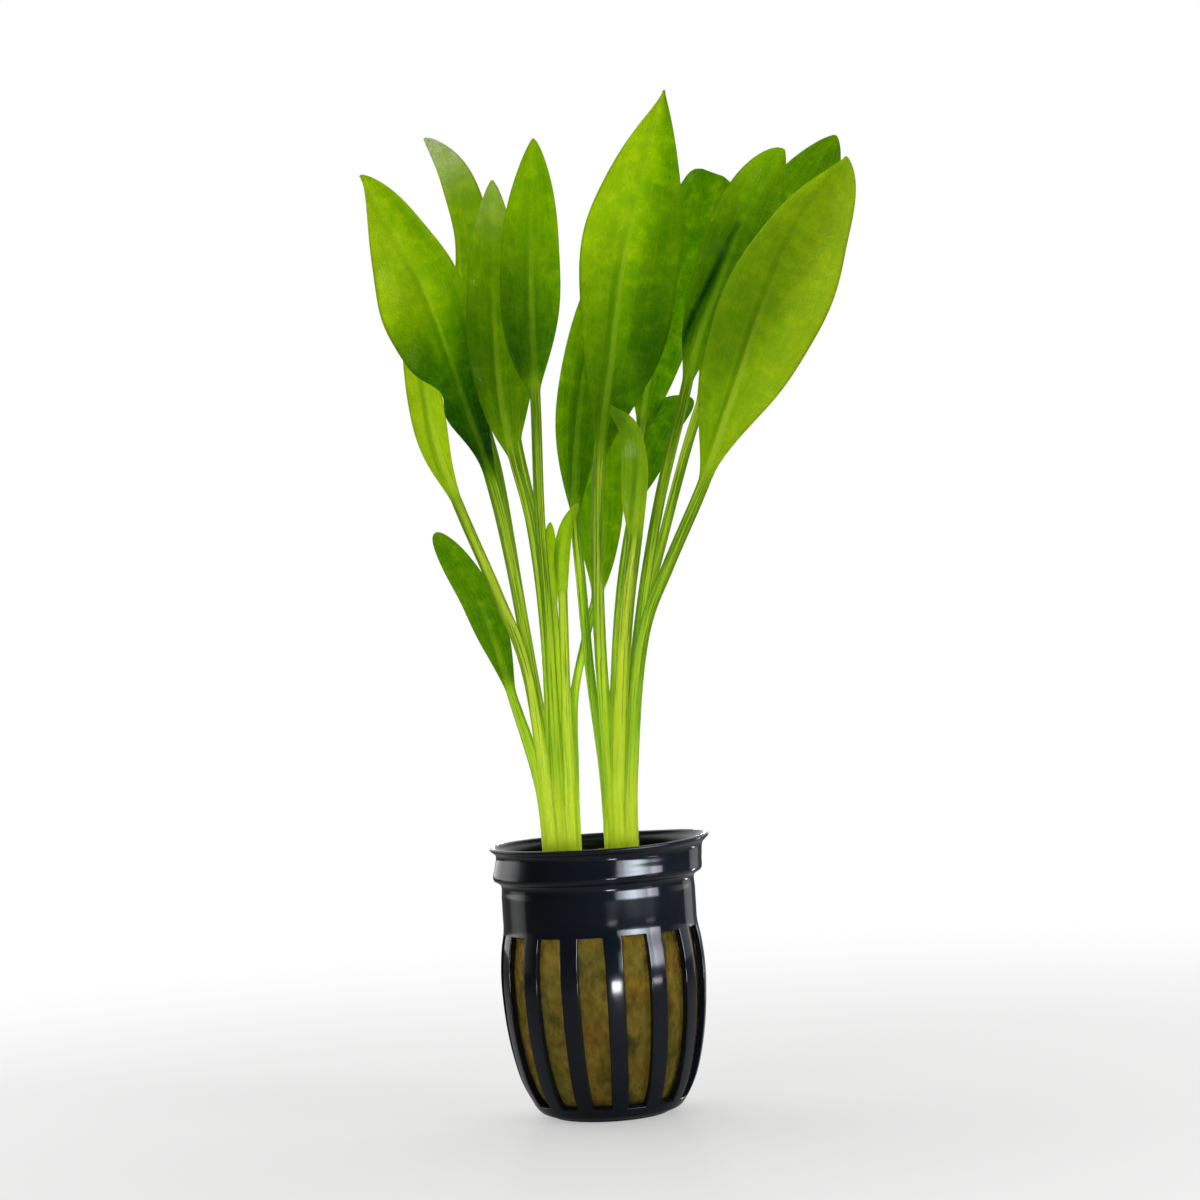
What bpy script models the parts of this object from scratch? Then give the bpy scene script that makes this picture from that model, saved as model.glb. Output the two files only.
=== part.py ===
"""A potted echinodorus: a moulded net pot, its mineral wool plug, two crowns and their leaves.

Units are metres, +Z is up, and the origin is the centre of the pot's flat base. Seen from -Y, the
taller clump of leaves is on the right. A leaf is one piece, from the foot of its stalk to its tip.
"""

import math
from collections import namedtuple

import bmesh
import bpy
import numpy as np

MM = 0.001

# The pot: outer radius and height of each corner of its wall, from the lip down, in mm
LIP_RADIUS = 26.0
POT_HEIGHT = 64.3
BASE_RADIUS = 14.0
WALL = 1.15
RIB_DEPTH = 1.5
FLOOR = 1.6
INNER_CORNER_RISE = 2.6
COLLAR_OUTSIDE = ((LIP_RADIUS, 63.5), (25.2, 62.2), (24.6, 61.0), (24.5, 56.6))
BAND_OUTSIDE = ((22.9, 55.2), (22.9, 50.0), (23.1, 44.0))
CAGE_OUTSIDE = ((23.7, 40.0), (24.2, 34.0), (24.1, 28.0), (23.5, 21.0), (22.3, 14.0), (20.6, 8.0))
CORNER_OUTSIDE = ((18.4, 3.6), (16.6, 1.3))
POT_SEGMENTS = 56

# The slots between the ribs
SLOT_COUNT = 14
SLOT_WIDTH = 6.0
SLOT_TOP = 43.6
SLOT_BOTTOM = 3.4
SLOT_INNER_RADIUS = 14.4
SLOT_OUTER_RADIUS = 29.0
FIRST_RIB_DEG = 6.7

# The plug and the two crowns sunk in it
PLUG_TOP = 60.5
PLUG_CLEARANCE = 0.45
PLUG_SEGMENTS = 28
PLUG_EDGE = 1.2
CROWN_DEPTH = 2.7
CROWN_GAP = 0.45
CROWN_SEGMENTS = 14
# Corners of a crown: share of its radius, and depth below its top
CROWN_SHAPE = ((0.75, 0.0), (1.0, 0.7), (0.95, 2.2), (0.8, CROWN_DEPTH))
STALK_FOOT = 60.95

Clump = namedtuple("Clump", "x y radius pitch foot")
LEFT = Clump(x=-7.9, y=0.0, radius=5.0, pitch=2.45, foot=1.04)
RIGHT = Clump(x=5.9, y=0.0, radius=4.6, pitch=2.75, foot=1.18)
ROW_STEP = math.sin(math.radians(60))
STRAIGHT = 18.0

# A leaf: its clump and its place there (column and row, in pitches), the points that its midrib
# passes through, the length of its blade and the radius of its stalk. left and right are the two
# halves of the blade as seen from -Y: greatest width, where that is between the blade's foot and
# tip, and how drawn out the foot and the tip are, from 1 for round to 3 for a long point. turn and
# twist turn the blade about its midrib, and fold raises its margins, in degrees.
Leaf = namedtuple("Leaf", "clump place path blade stalk left right turn twist fold")

LEAVES = {
    "left_broad_leaf": Leaf(
        LEFT, (-1.0, 0.5),
        ((-13.2, 1, 109), (-15.8, 0, 131), (-19.1, -2, 150), (-24.6, -3, 170), (-31.4, -5, 194),
         (-38.1, -7, 209), (-45.3, -9, 223.5)),
        80, 1.3, (11.4, 0.55, 4.5, 3.6), (8.8, 0.60, 2.0, 1.7), 20, 6, 8,
    ),
    "left_lower_leaf": Leaf(
        LEFT, (-1.0, -1.5),
        ((-13.9, -4, 107), (-19.5, -3, 124), (-27.0, 2, 144), (-31.6, 5, 158), (-33.6, 7, 171),
         (-34.4, 9, 186), (-34.6, 10, 202)),
        58, 1.2, (4.6, 0.5, 2.0, 1.3), (3.7, 0.5, 2.0, 1.3), 26, 0, 14,
    ),
    "left_short_leaf": Leaf(
        LEFT, (-1.5, -0.5),
        ((-17.6, 1, 100), (-20.9, 3, 113), (-24.4, 5, 123), (-29.4, 7, 132.5), (-33.8, 8, 139.4)),
        44, 1.0, (4.2, 0.55, 2.0, 1.0), (4.2, 0.5, 2.0, 1.0), -16, 0, 8,
    ),
    "left_back_leaf": Leaf(
        LEFT, (-0.5, 1.5),
        ((-14.5, 8, 122), (-18.2, 11, 154), (-21.8, 13, 171), (-24.2, 15.5, 188), (-24.3, 19, 211.5),
         (-26.9, 21.2, 225), (-31.3, 23, 236)),
        74, 1.1, (1.2, 0.6, 2.0, 1.6), (8.2, 0.6, 2.0, 1.8), -22, -8, 12,
    ),
    "left_middle_leaf": Leaf(
        LEFT, (-0.5, -0.5),
        ((-8.8, -4, 117), (-10.6, -6, 141), (-13.6, -8, 156), (-15.4, -9, 169), (-15.8, -11, 188),
         (-15.2, -13, 204), (-14.4, -16, 219.5)),
        65, 1.1, (6.9, 0.47, 1.8, 1.4), (6.6, 0.5, 2.0, 1.4), -14, 0, 10,
    ),
    "left_front_leaf": Leaf(
        LEFT, (0.0, -1.5),
        ((-7.8, -9, 117), (-8.2, -13, 140), (-7.5, -17, 166), (-7.2, -20, 182), (-6.4, -24, 200),
         (-5.4, -28, 213), (-4.1, -33, 226)),
        59, 1.1, (7.3, 0.42, 1.8, 1.3), (6.7, 0.46, 2.2, 1.3), 14, 6, -8,
    ),
    "left_rear_leaf": Leaf(
        LEFT, (0.0, 0.5),
        ((-7.6, 9, 117), (-9.9, 15, 141), (-13.1, 19, 161), (-13.7, 22, 173), (-13.3, 25, 188),
         (-12.1, 31, 211)),
        52, 1.0, (6.0, 0.5, 2.0, 1.4), (6.2, 0.45, 2.0, 1.4), -24, 0, 10,
    ),
    "left_bud_leaf": Leaf(
        LEFT, (0.5, -0.5),
        ((-6.4, -1.3, 117), (-6.8, -1.6, 128), (-6.0, -2.0, 140)),
        20, 0.9, (1.9, 0.5, 1.5, 1.2), (1.9, 0.5, 1.5, 1.2), 20, 0, 20,
    ),
    "left_hooked_leaf": Leaf(
        LEFT, (1.0, -1.5),
        ((-4.1, -4.2, 121), (-3.7, -4.3, 132), (-2.1, -4.4, 139), (0.8, -4.6, 144)),
        22, 1.0, (1.8, 0.5, 1.5, 1.2), (1.8, 0.5, 1.5, 1.2), 0, 0, 20,
    ),
    "crossing_leaf": Leaf(
        LEFT, (1.5, -0.5),
        ((-3.0, 4, 98), (0.6, 7, 112), (4.2, 9, 124), (5.6, 11, 136), (6.6, 14, 152), (7.4, 17, 169),
         (8.0, 21, 187)),
        68, 0.9, (7.6, 0.5, 2.2, 1.4), (5.8, 0.45, 2.2, 1.4), 6, 0, 8,
    ),
    "right_inner_leaf": Leaf(
        RIGHT, (-1.0, 0.5),
        ((1.1, 1, 107), (0.4, 2, 126), (0.0, 3, 140), (1.3, 5, 157), (4.0, 7, 174), (8.1, 9, 190),
         (12.8, 12, 207)),
        68, 1.1, (6.0, 0.48, 1.9, 1.4), (6.2, 0.5, 1.9, 1.4), -26, 0, 10,
    ),
    "right_tall_leaf": Leaf(
        RIGHT, (-0.5, -0.5),
        ((4.0, -5, 111), (4.8, -7, 135), (6.7, -9, 156), (10.6, -12, 177), (14.4, -15, 197),
         (19.6, -19, 215), (26.4, -24, 236.6)),
        88, 1.3, (10.2, 0.60, 2.5, 3.4), (13.4, 0.48, 2.5, 2.2), 14, 6, 6,
    ),
    "right_round_leaf": Leaf(
        RIGHT, (0.0, 0.5),
        ((11.3, 7, 120), (14.2, 10, 144), (16.9, 12, 161), (20.6, 14, 178), (27.3, 16, 195),
         (33.5, 18, 209), (38.1, 20, 223)),
        66, 1.2, (8.4, 0.55, 2.0, 0.9), (8.6, 0.6, 2.0, 0.9), 22, 0, 8,
    ),
    "right_broad_leaf": Leaf(
        RIGHT, (1.0, -1.5),
        ((14.8, -4, 114), (21.1, -4, 128), (30.9, -5, 147.6), (39.3, -8, 168), (46.9, -11, 187),
         (56.2, -14, 205), (67.7, -18, 219.7)),
        84, 1.3, (10.2, 0.46, 2.4, 2.0), (13.8, 0.57, 2.8, 1.9), -16, -8, 6,
    ),
    "right_rear_leaf": Leaf(
        RIGHT, (1.0, 0.5),
        ((13.6, 9, 111), (21.3, 15, 137), (30.8, 20, 164.4), (38.0, 23, 180), (47.2, 26, 195.6),
         (57.0, 29, 212.6), (69.8, 33, 232)),
        78, 1.1, (9.4, 0.58, 2.0, 1.6), (9.8, 0.5, 2.0, 1.4), -24, 0, 8,
    ),
    "right_slim_leaf": Leaf(
        RIGHT, (0.5, -0.5),
        ((13.8, 1, 116), (20.2, 2, 144), (27.2, 3, 167), (31.4, 4, 181), (37.8, 6, 195.4),
         (45.3, 8, 211), (55.3, 11, 226.3)),
        62, 1.2, (5.7, 0.6, 2.0, 1.9), (8.0, 0.5, 2.0, 1.5), 18, 0, 10,
    ),
    "right_bent_leaf": Leaf(
        RIGHT, (-0.5, 1.5),
        ((9.4, 12, 121), (14.4, 16.5, 144), (18.4, 17.5, 155.5), (23.4, 17.2, 163.4), (30.0, 15.5, 168)),
        31, 1.0, (5.8, 0.5, 1.6, 1.1), (4.6, 0.5, 1.6, 1.1), 14, 0, 10,
    ),
    "right_young_leaf": Leaf(
        RIGHT, (0.0, -1.5),
        ((10.4, -8, 116), (14.7, -10, 141), (16.0, -11, 154), (14.5, -12, 161.2), (9.6, -13, 165.8)),
        34, 1.5, (4.6, 0.5, 1.6, 1.2), (1.4, 0.5, 1.6, 1.2), -16, 0, 14,
    ),
}

# How a leaf's solid is made. Lengths are in mm and the rest are shares: of the way to the path's
# first point that a stalk leans over its straight foot, of the leaf's length to look ahead for its
# direction, of the blade over which the stalk flattens and the midrib fades, of the stalk's radius
# that the midrib loses, and of half the blade's width where it is thickest
BLADE_THICK = 0.7
FOOT_TO_STALK = 25.0
LEAN = 0.12
LOOK_AHEAD = 0.02
FLATTENED = 0.12
RIB_TAPER = 0.75
INNER_SHARE = 0.5
DIAGONAL = math.sqrt(0.5)
EDGE_OF_SHARE = 1e-6
STALK_STATIONS = (0.0, 0.14, 0.28, 0.44, 0.60, 0.76, 0.90)
BLADE_STATIONS = (0.0, 0.07, 0.15, 0.25, 0.36, 0.47, 0.58, 0.69, 0.79, 0.88, 0.95)
RIB_FADE = 0.7
PATH_STEPS = 24

BLACK = (0.012, 0.012, 0.014, 1.0)
WOOL = (0.16, 0.12, 0.05, 1.0)
ROOTSTOCK = (0.35, 0.30, 0.14, 1.0)
LEAF_GREEN = (0.14, 0.34, 0.02, 1.0)


def clear_scene():
    """Empties the scene."""
    for thing in list(bpy.data.objects):
        bpy.data.objects.remove(thing, do_unlink=True)


def finish(name, colour, roughness):
    """A material with the piece's own colour and gloss."""
    material = bpy.data.materials.new(name)
    material.use_nodes = True
    shader = material.node_tree.nodes["Principled BSDF"]
    shader.inputs["Base Color"].default_value = colour
    shader.inputs["Roughness"].default_value = roughness
    shader.inputs["Metallic"].default_value = 0.0
    material.diffuse_color = colour
    return material


def add_piece(name, vertices, faces, material, smooth_below=35):
    """A new object from corners in mm, shaded smooth where its faces turn little."""
    mesh = bpy.data.meshes.new(name)
    mesh.from_pydata([tuple(MM * c for c in v) for v in vertices], [], faces)
    piece = bpy.data.objects.new(name, mesh)
    bpy.context.collection.objects.link(piece)
    if material:
        mesh.materials.append(material)
    mesh.shade_smooth()
    mesh.set_sharp_from_angle(angle=math.radians(smooth_below))
    return piece


def turned(name, profile, segments, material):
    """A piece turned on the Z axis. Its profile runs out, down its outer side and back in."""
    piece = add_piece(name, [(r, 0, z) for r, z in profile], [], material)
    bm = bmesh.new()
    bm.from_mesh(piece.data)
    bm.verts.ensure_lookup_table()
    for a, b in zip(bm.verts[:-1], bm.verts[1:]):
        bm.edges.new((a, b))
    bm.to_mesh(piece.data)
    bm.free()
    screw = piece.modifiers.new("turn", "SCREW")
    screw.axis = "Z"
    screw.steps = segments
    screw.render_steps = segments
    screw.use_merge_vertices = True
    screw.merge_threshold = 0.00002
    screw.use_smooth_shade = True
    return piece


def cut(piece, cutter):
    """Takes a hidden cutter out of a piece."""
    cutter.hide_render = True
    cutter.display_type = "WIRE"
    boolean = piece.modifiers.new("cut", "BOOLEAN")
    boolean.operation = "DIFFERENCE"
    boolean.solver = "EXACT"
    boolean.object = cutter


def inset(outside, depth):
    """A wall's inner corners: its outer corners moved towards the axis."""
    return [(r - depth, z) for r, z in outside]


def cage_inside():
    """The inner side of the band and the ribbed part, down to the rounded corner above the floor."""
    band = inset(BAND_OUTSIDE, WALL)
    cage = inset(CAGE_OUTSIDE, RIB_DEPTH)
    corner = (CORNER_OUTSIDE[0][0] - RIB_DEPTH, FLOOR + INNER_CORNER_RISE)
    return [*band, *cage, corner]


def pot_profile():
    """The whole wall: up the inside, round the lip, down the outside and under the base."""
    lip = [(LIP_RADIUS - WALL, POT_HEIGHT), (LIP_RADIUS, POT_HEIGHT)]
    outside = [*COLLAR_OUTSIDE, *BAND_OUTSIDE, *CAGE_OUTSIDE, *CORNER_OUTSIDE, (BASE_RADIUS, 0.0), (0.0, 0.0)]
    collar = inset(COLLAR_OUTSIDE[2:], WALL)
    inside = [*collar, *cage_inside(), (BASE_RADIUS, FLOOR)]
    return [(0.0, FLOOR), *reversed(inside), *lip, *outside]


def slot_cutters():
    """Upright boards standing round the axis, one for each slot, in one hidden object."""
    half = SLOT_WIDTH / 2
    inner, outer = SLOT_INNER_RADIUS, SLOT_OUTER_RADIUS
    vertices, faces = [], []
    for i in range(SLOT_COUNT):
        middle = math.radians(FIRST_RIB_DEG - 90) + 2 * math.pi * (i + 0.5) / SLOT_COUNT
        c, s = math.cos(middle), math.sin(middle)
        first = len(vertices)
        for z in (SLOT_BOTTOM, SLOT_TOP):
            for r, across in ((inner, -half), (outer, -half), (outer, half), (inner, half)):
                vertices.append((r * c - across * s, r * s + across * c, z))
        for quad in ((0, 3, 2, 1), (4, 5, 6, 7), (0, 1, 5, 4), (1, 2, 6, 5), (2, 3, 7, 6), (3, 0, 4, 7)):
            faces.append([first + q for q in quad])
    return add_piece("slot_cutters", vertices, faces, None)


def make_pot():
    """The pot: one turned wall with the slots cut through it."""
    pot = turned("net_pot", pot_profile(), POT_SEGMENTS, finish("black plastic", BLACK, 0.18))
    cut(pot, slot_cutters())


def pocket_cutter(name, clump):
    """A round cutter for the pocket that a crown sits in."""
    bm = bmesh.new()
    bmesh.ops.create_cone(
        bm, cap_ends=True, segments=CROWN_SEGMENTS, radius1=(clump.radius + CROWN_GAP) * MM,
        radius2=(clump.radius + CROWN_GAP) * MM, depth=2 * (CROWN_DEPTH + CROWN_GAP) * MM,
    )
    mesh = bpy.data.meshes.new(name)
    bm.to_mesh(mesh)
    bm.free()
    cutter = bpy.data.objects.new(name, mesh)
    cutter.location = (clump.x * MM, clump.y * MM, PLUG_TOP * MM)
    bpy.context.collection.objects.link(cutter)
    return cutter


def make_plug():
    """The plug follows the pot's inside with a small clearance and has two pockets on top."""
    *wall, (corner_radius, corner_height) = inset(cage_inside(), PLUG_CLEARANCE)
    top_radius = wall[0][0]
    bottom = FLOOR + PLUG_CLEARANCE
    top = [(0.0, PLUG_TOP), (top_radius - PLUG_EDGE, PLUG_TOP), (top_radius, PLUG_TOP - PLUG_EDGE)]
    corner = (corner_radius, corner_height + PLUG_CLEARANCE)
    profile = [*top, *wall, corner, (BASE_RADIUS - PLUG_CLEARANCE, bottom), (0.0, bottom)]
    plug = turned("growing_plug", profile, PLUG_SEGMENTS, finish("mineral wool", WOOL, 0.95))
    cut(plug, pocket_cutter("left_pocket", LEFT))
    cut(plug, pocket_cutter("right_pocket", RIGHT))


def make_crown(name, clump, material):
    """A low round rootstock under the feet of a clump's stalks."""
    side = [(share * clump.radius, PLUG_TOP - depth) for share, depth in CROWN_SHAPE]
    profile = [(0.0, PLUG_TOP), *side, (0.0, PLUG_TOP - CROWN_DEPTH)]
    crown = turned(name, profile, CROWN_SEGMENTS, material)
    crown.location = (clump.x * MM, clump.y * MM, 0.0)


def smooth_path(points):
    """A fine run of points on a smooth curve through the given ones."""
    p = np.asarray(points, float)
    ends = np.vstack([2 * p[0] - p[1], p, 2 * p[-1] - p[-2]])
    knots = np.concatenate([[0.0], np.cumsum(np.linalg.norm(np.diff(ends, axis=0), axis=1) ** 0.5)])
    run = []
    for i in range(1, len(ends) - 2):
        t0, t1, t2, t3 = knots[i - 1 : i + 3]
        a, b, c, d = ends[i - 1 : i + 3]
        t = np.linspace(t1, t2, PATH_STEPS, endpoint=False)[:, None]
        ab = (t1 - t) / (t1 - t0) * a + (t - t0) / (t1 - t0) * b
        bc = (t2 - t) / (t2 - t1) * b + (t - t1) / (t2 - t1) * c
        cd = (t3 - t) / (t3 - t2) * c + (t - t2) / (t3 - t2) * d
        abc = (t2 - t) / (t2 - t0) * ab + (t - t0) / (t2 - t0) * bc
        bcd = (t3 - t) / (t3 - t1) * bc + (t - t1) / (t3 - t1) * cd
        run.append((t2 - t) / (t2 - t1) * abc + (t - t1) / (t2 - t1) * bcd)
    return np.vstack([*run, p[-1]])


def length_along(path):
    """How far along the path each of its points is, in mm."""
    return np.concatenate([[0.0], np.cumsum(np.linalg.norm(np.diff(path, axis=0), axis=1))])


def on_path(path, lengths):
    """The points of the path at the given lengths along it."""
    along = length_along(path)
    return np.stack([np.interp(lengths, along, path[:, i]) for i in range(3)], axis=1)


def directions(path, lengths):
    """Which way the path runs at the given lengths along it, as unit vectors."""
    step = LOOK_AHEAD * length_along(path)[-1]
    ahead = on_path(path, lengths + step) - on_path(path, lengths - step)
    return ahead / np.linalg.norm(ahead, axis=1)[:, None]


def ease(t):
    """A smooth rise from 0 to 1 as t does so, level at both ends."""
    t = np.clip(t, 0.0, 1.0)
    return t * t * (3 - 2 * t)


def outline(s, half):
    """The width of one half of a blade at share s of its length, from 0 at its foot to 0 at its tip."""
    width, widest, foot, tip = half
    s = np.clip(s, EDGE_OF_SHARE, 1 - EDGE_OF_SHARE)
    bell = (s / widest) ** widest * ((1 - s) / (1 - widest)) ** (1 - widest)
    return width * np.where(s < widest, bell**foot, bell**tip)


def foot_of(leaf):
    """Where a stalk stands on its crown, in a hexagonal bundle."""
    column, row = leaf.place
    pitch = leaf.clump.pitch
    return leaf.clump.x + column * pitch, leaf.clump.y + row * pitch * ROW_STEP


def leaf_path(leaf):
    """The leaf's midline: nearly upright from its foot, then through its path points."""
    x, y = foot_of(leaf)
    lean = LEAN * (np.array(leaf.path[0][:2]) - (x, y))
    upright = (x + lean[0], y + lean[1], STALK_FOOT + STRAIGHT)
    return smooth_path([(x, y, STALK_FOOT), upright, *leaf.path])


def leaf_stations(leaf, total):
    """Lengths along the leaf at which it has a ring, and the share of the blade at each."""
    stalk = total - leaf.blade
    on_stalk = np.array(STALK_STATIONS) * stalk
    lengths = np.concatenate([on_stalk, stalk + np.array(BLADE_STATIONS) * leaf.blade])
    return lengths, (lengths - stalk) / leaf.blade


def blade_axes(leaf, along, s):
    """The blade's turn at each station, and unit vectors across the blade and out of its face."""
    turn = np.radians(leaf.turn + leaf.twist * np.clip(s, 0, 1))
    facing = np.stack([np.sin(turn), -np.cos(turn), 0 * turn], axis=1)
    normal = facing - (facing * along).sum(axis=1)[:, None] * along
    normal /= np.linalg.norm(normal, axis=1)[:, None]
    return turn, np.cross(along, normal), normal


def leaf_ring(leaf, lengths, s, turn):
    """Eight places round the midline at each station: how far across it, and how far out of the face.

    A round stalk flattens into a thin blade whose margins are raised by the fold. A half's width is
    given as it is seen from -Y, so it is divided by how much the turned half shows.
    """
    radius = leaf.clump.foot + (leaf.stalk - leaf.clump.foot) * ease((lengths - STRAIGHT) / FOOT_TO_STALK)
    radius = radius * (1 - RIB_TAPER * ease(s))
    flat = ease(s / FLATTENED)
    middle = np.maximum(radius * (1 - ease(s / RIB_FADE)), BLADE_THICK / 2)
    thick = radius * DIAGONAL * (1 - flat) + BLADE_THICK / 2 * flat
    rise = math.tan(math.radians(leaf.fold)) * flat
    sides = []
    for half, sign in ((leaf.left, -1), (leaf.right, 1)):
        seen = np.cos(turn) + sign * rise * np.sin(turn)
        width = np.hypot(radius, outline(s, half) / seen * (s > 0))
        inner = width * (DIAGONAL + (INNER_SHARE - DIAGONAL) * flat)
        edge = (sign * width, rise * width)
        upper = (sign * inner, rise * inner + thick)
        lower = (sign * inner, rise * inner - thick)
        sides.append((edge, upper, lower))
    (left_edge, left_upper, left_lower), (right_edge, right_upper, right_lower) = sides
    return (
        left_edge, left_upper, (0 * middle, middle), right_upper,
        right_edge, right_lower, (0 * middle, -middle), left_lower,
    )


def loft(rings, tip):
    """Corners and faces of a closed skin over a row of rings, flat at its start and pointed at tip."""
    count, ring = rings.shape[:2]
    vertices = [tuple(v) for v in rings.reshape(-1, 3)] + [tuple(tip)]
    faces = [
        [i * ring + j, i * ring + (j + 1) % ring, (i + 1) * ring + (j + 1) % ring, (i + 1) * ring + j]
        for i in range(count - 1)
        for j in range(ring)
    ]
    faces.append(list(reversed(range(ring))))
    last = (count - 1) * ring
    faces += [[last + j, last + (j + 1) % ring, len(vertices) - 1] for j in range(ring)]
    return vertices, faces


def make_leaf(name, leaf, material):
    """A leaf, stalk and blade in one, lofted through eight-sided rings along its midline."""
    path = leaf_path(leaf)
    lengths, s = leaf_stations(leaf, length_along(path)[-1])
    turn, side, normal = blade_axes(leaf, directions(path, lengths), s)
    centre = on_path(path, lengths)
    places = leaf_ring(leaf, lengths, s, turn)
    rings = np.stack([centre + side * x[:, None] + normal * h[:, None] for x, h in places], axis=1)
    tidy_normals(add_piece(name, *loft(rings, path[-1]), material, smooth_below=50))


def tidy_normals(piece):
    """Splits the piece's faces into triangles that all face outwards."""
    bm = bmesh.new()
    bm.from_mesh(piece.data)
    bmesh.ops.triangulate(bm, faces=bm.faces[:])
    bmesh.ops.recalc_face_normals(bm, faces=bm.faces[:])
    bm.to_mesh(piece.data)
    bm.free()


def main():
    """Builds every piece in an empty scene."""
    clear_scene()
    make_pot()
    make_plug()
    rootstock = finish("rootstock", ROOTSTOCK, 0.8)
    make_crown("left_crown", LEFT, rootstock)
    make_crown("right_crown", RIGHT, rootstock)
    green = finish("leaf", LEAF_GREEN, 0.35)
    for name, leaf in LEAVES.items():
        make_leaf(name, leaf, green)


main()
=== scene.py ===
"""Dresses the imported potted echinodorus: fine leaves, net pot, mineral wool, crowns and studio.

Shapes are worked out in millimetres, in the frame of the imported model, and put into meshes in
metres. Seen from -Y the taller clump of leaves is on the right.
"""

import math
from collections import namedtuple

import bpy
import numpy as np
from bpy.props import FloatProperty, FloatVectorProperty, IntProperty, PointerProperty
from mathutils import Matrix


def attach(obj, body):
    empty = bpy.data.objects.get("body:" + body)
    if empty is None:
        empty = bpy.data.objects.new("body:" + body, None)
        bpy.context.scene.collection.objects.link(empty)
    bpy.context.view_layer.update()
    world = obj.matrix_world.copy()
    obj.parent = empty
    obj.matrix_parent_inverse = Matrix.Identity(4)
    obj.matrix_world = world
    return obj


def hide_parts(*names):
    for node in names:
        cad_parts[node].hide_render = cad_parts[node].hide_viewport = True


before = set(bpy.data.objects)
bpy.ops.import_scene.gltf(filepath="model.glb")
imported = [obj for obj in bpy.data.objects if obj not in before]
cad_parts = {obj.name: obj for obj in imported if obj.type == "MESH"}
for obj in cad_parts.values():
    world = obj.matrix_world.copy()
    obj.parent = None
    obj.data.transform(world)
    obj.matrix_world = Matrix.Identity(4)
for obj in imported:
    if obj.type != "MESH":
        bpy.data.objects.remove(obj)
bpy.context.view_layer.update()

bl_info = {
    "name": "Potted Echinodorus",
    "version": (1, 0, 0),
    "blender": (4, 5, 0),
    "location": "View3D > Sidebar > Echinodorus",
    "description": "Builds the leaves, pot, wool and studio of a potted aquarium plant",
    "category": "Add Mesh",
}

MM = 0.001

# The photograph's view: a camera in front of the plant, level, and rolled a little. The half
# width of the picture is measured where the plant stands.
CAMERA_PLACE = (4.6, -740.0, 121.0)
CAMERA_ROLL_DEG = 3.5
HALF_PICTURE = 141.84
SENSOR = 36.0

# The pot: its wall gets deeper below the band, and its lip and its foot have rounded edges
LIP_RADIUS = 26.0
POT_HEIGHT = 64.3
WALL = 1.15
RIB_DEPTH = 1.5
DEEPER_FROM = 50.0
DEEPER_OVER = 6.0
EDGE = 0.35
FLOOR = 1.6
BASE_RADIUS = 14.0
BASE_CHAMFER = 0.4
COLLAR_BOTTOM = 56.0
# Radius and height of the corners of its outside, from the lip down
OUTSIDE = (
    (26.0, 63.6), (25.2, 62.9), (24.5, 62.3), (24.5, 59.5), (24.6, 56.5), (22.95, 55.3), (22.9, 52.0),
    (22.9, 48.0), (22.95, 44.4), (23.7, 40.0), (24.2, 34.0), (24.1, 28.0), (23.5, 21.0), (22.3, 14.0),
    (20.6, 8.0), (18.4, 3.6), (16.6, 1.3),
)
SLOT_COUNT = 14
SLOT_TOP = 43.6
SLOT_BOTTOM = 3.4
# Width of a slot at heights from its top down
SLOT_WIDTHS = ((SLOT_TOP, 5.9), (38.0, 6.5), (28.0, 6.6), (16.0, 6.1), (8.0, 5.2), (SLOT_BOTTOM, 4.4))
FIRST_RIB_DEG = 6.7
# The lip sits a little to the right, and its right side is flicked up
LIP_SHIFT = 0.9
LIP_FLICK = 0.9
LIP_SOFT = 9.0
FLICK_SOFT = 3.6
# How the wall's grid is divided: rows above, along and below the slots, cells of a rib and a slot
WALL_ROWS = (40, 56, 8)
RIB_CELLS = 6
SLOT_CELLS = 8

# Near the floor the inside of the wall rises at this share of the outside's pace
INSIDE_RISE = 0.9
# Edges sharper than one angle are rounded, and those under the other are shaded smooth
EDGE_BEVEL = 0.28
ROUNDED_ABOVE_DEG = 50
SMOOTH_BELOW_DEG = 40

# The plug, from the floor of the pot to its top, with a rounded shoulder, and the crowns in it
PLUG_TOP = 60.5
PLUG_GAP = 0.45
PLUG_SHOULDER = 1.2
NECK_HEIGHT = 55.0
CROWN_RISE = 0.55
CROWN_HEIGHT = 3.2
STALK_FOOT = 60.95

# A clump: its middle, the radius of its crown, the pitch of its bundle of stalks and the seed of
# the crown's lumps
Clump = namedtuple("Clump", "x y radius pitch seed")
LEFT = Clump(x=-7.9, y=0.0, radius=5.0, pitch=2.45, seed=61)
RIGHT = Clump(x=5.9, y=0.0, radius=4.6, pitch=2.75, seed=71)
ROW_STEP = math.sin(math.radians(60))
# Each stalk rises this far nearly straight, and leans by this share of the way to its next point
STRAIGHT = 18.0
LEAN = 0.12

# A leaf as the model has it: clump, place in the clump, points of its midrib, length of the blade,
# radius of the stalk, the two halves of the blade seen from -Y (greatest width, where, how drawn
# out at the foot and at the tip), turn and twist about the midrib and fold of the margins, in
# degrees. The rest is its look: height and number of the waves of its margins, how deep the
# green of its two halves is beside a fresh leaf and how much deeper at the blade's foot, which is
# partly the leaf's own green and partly painted shade where other leaves overlap it and on its
# less lit half, how far it leans to yellow, and how strong the painted sheen at its tip is.
Leaf = namedtuple(
    "Leaf", "clump place path blade stalk left right turn twist fold wave waves depths yellow frost"
)

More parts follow.
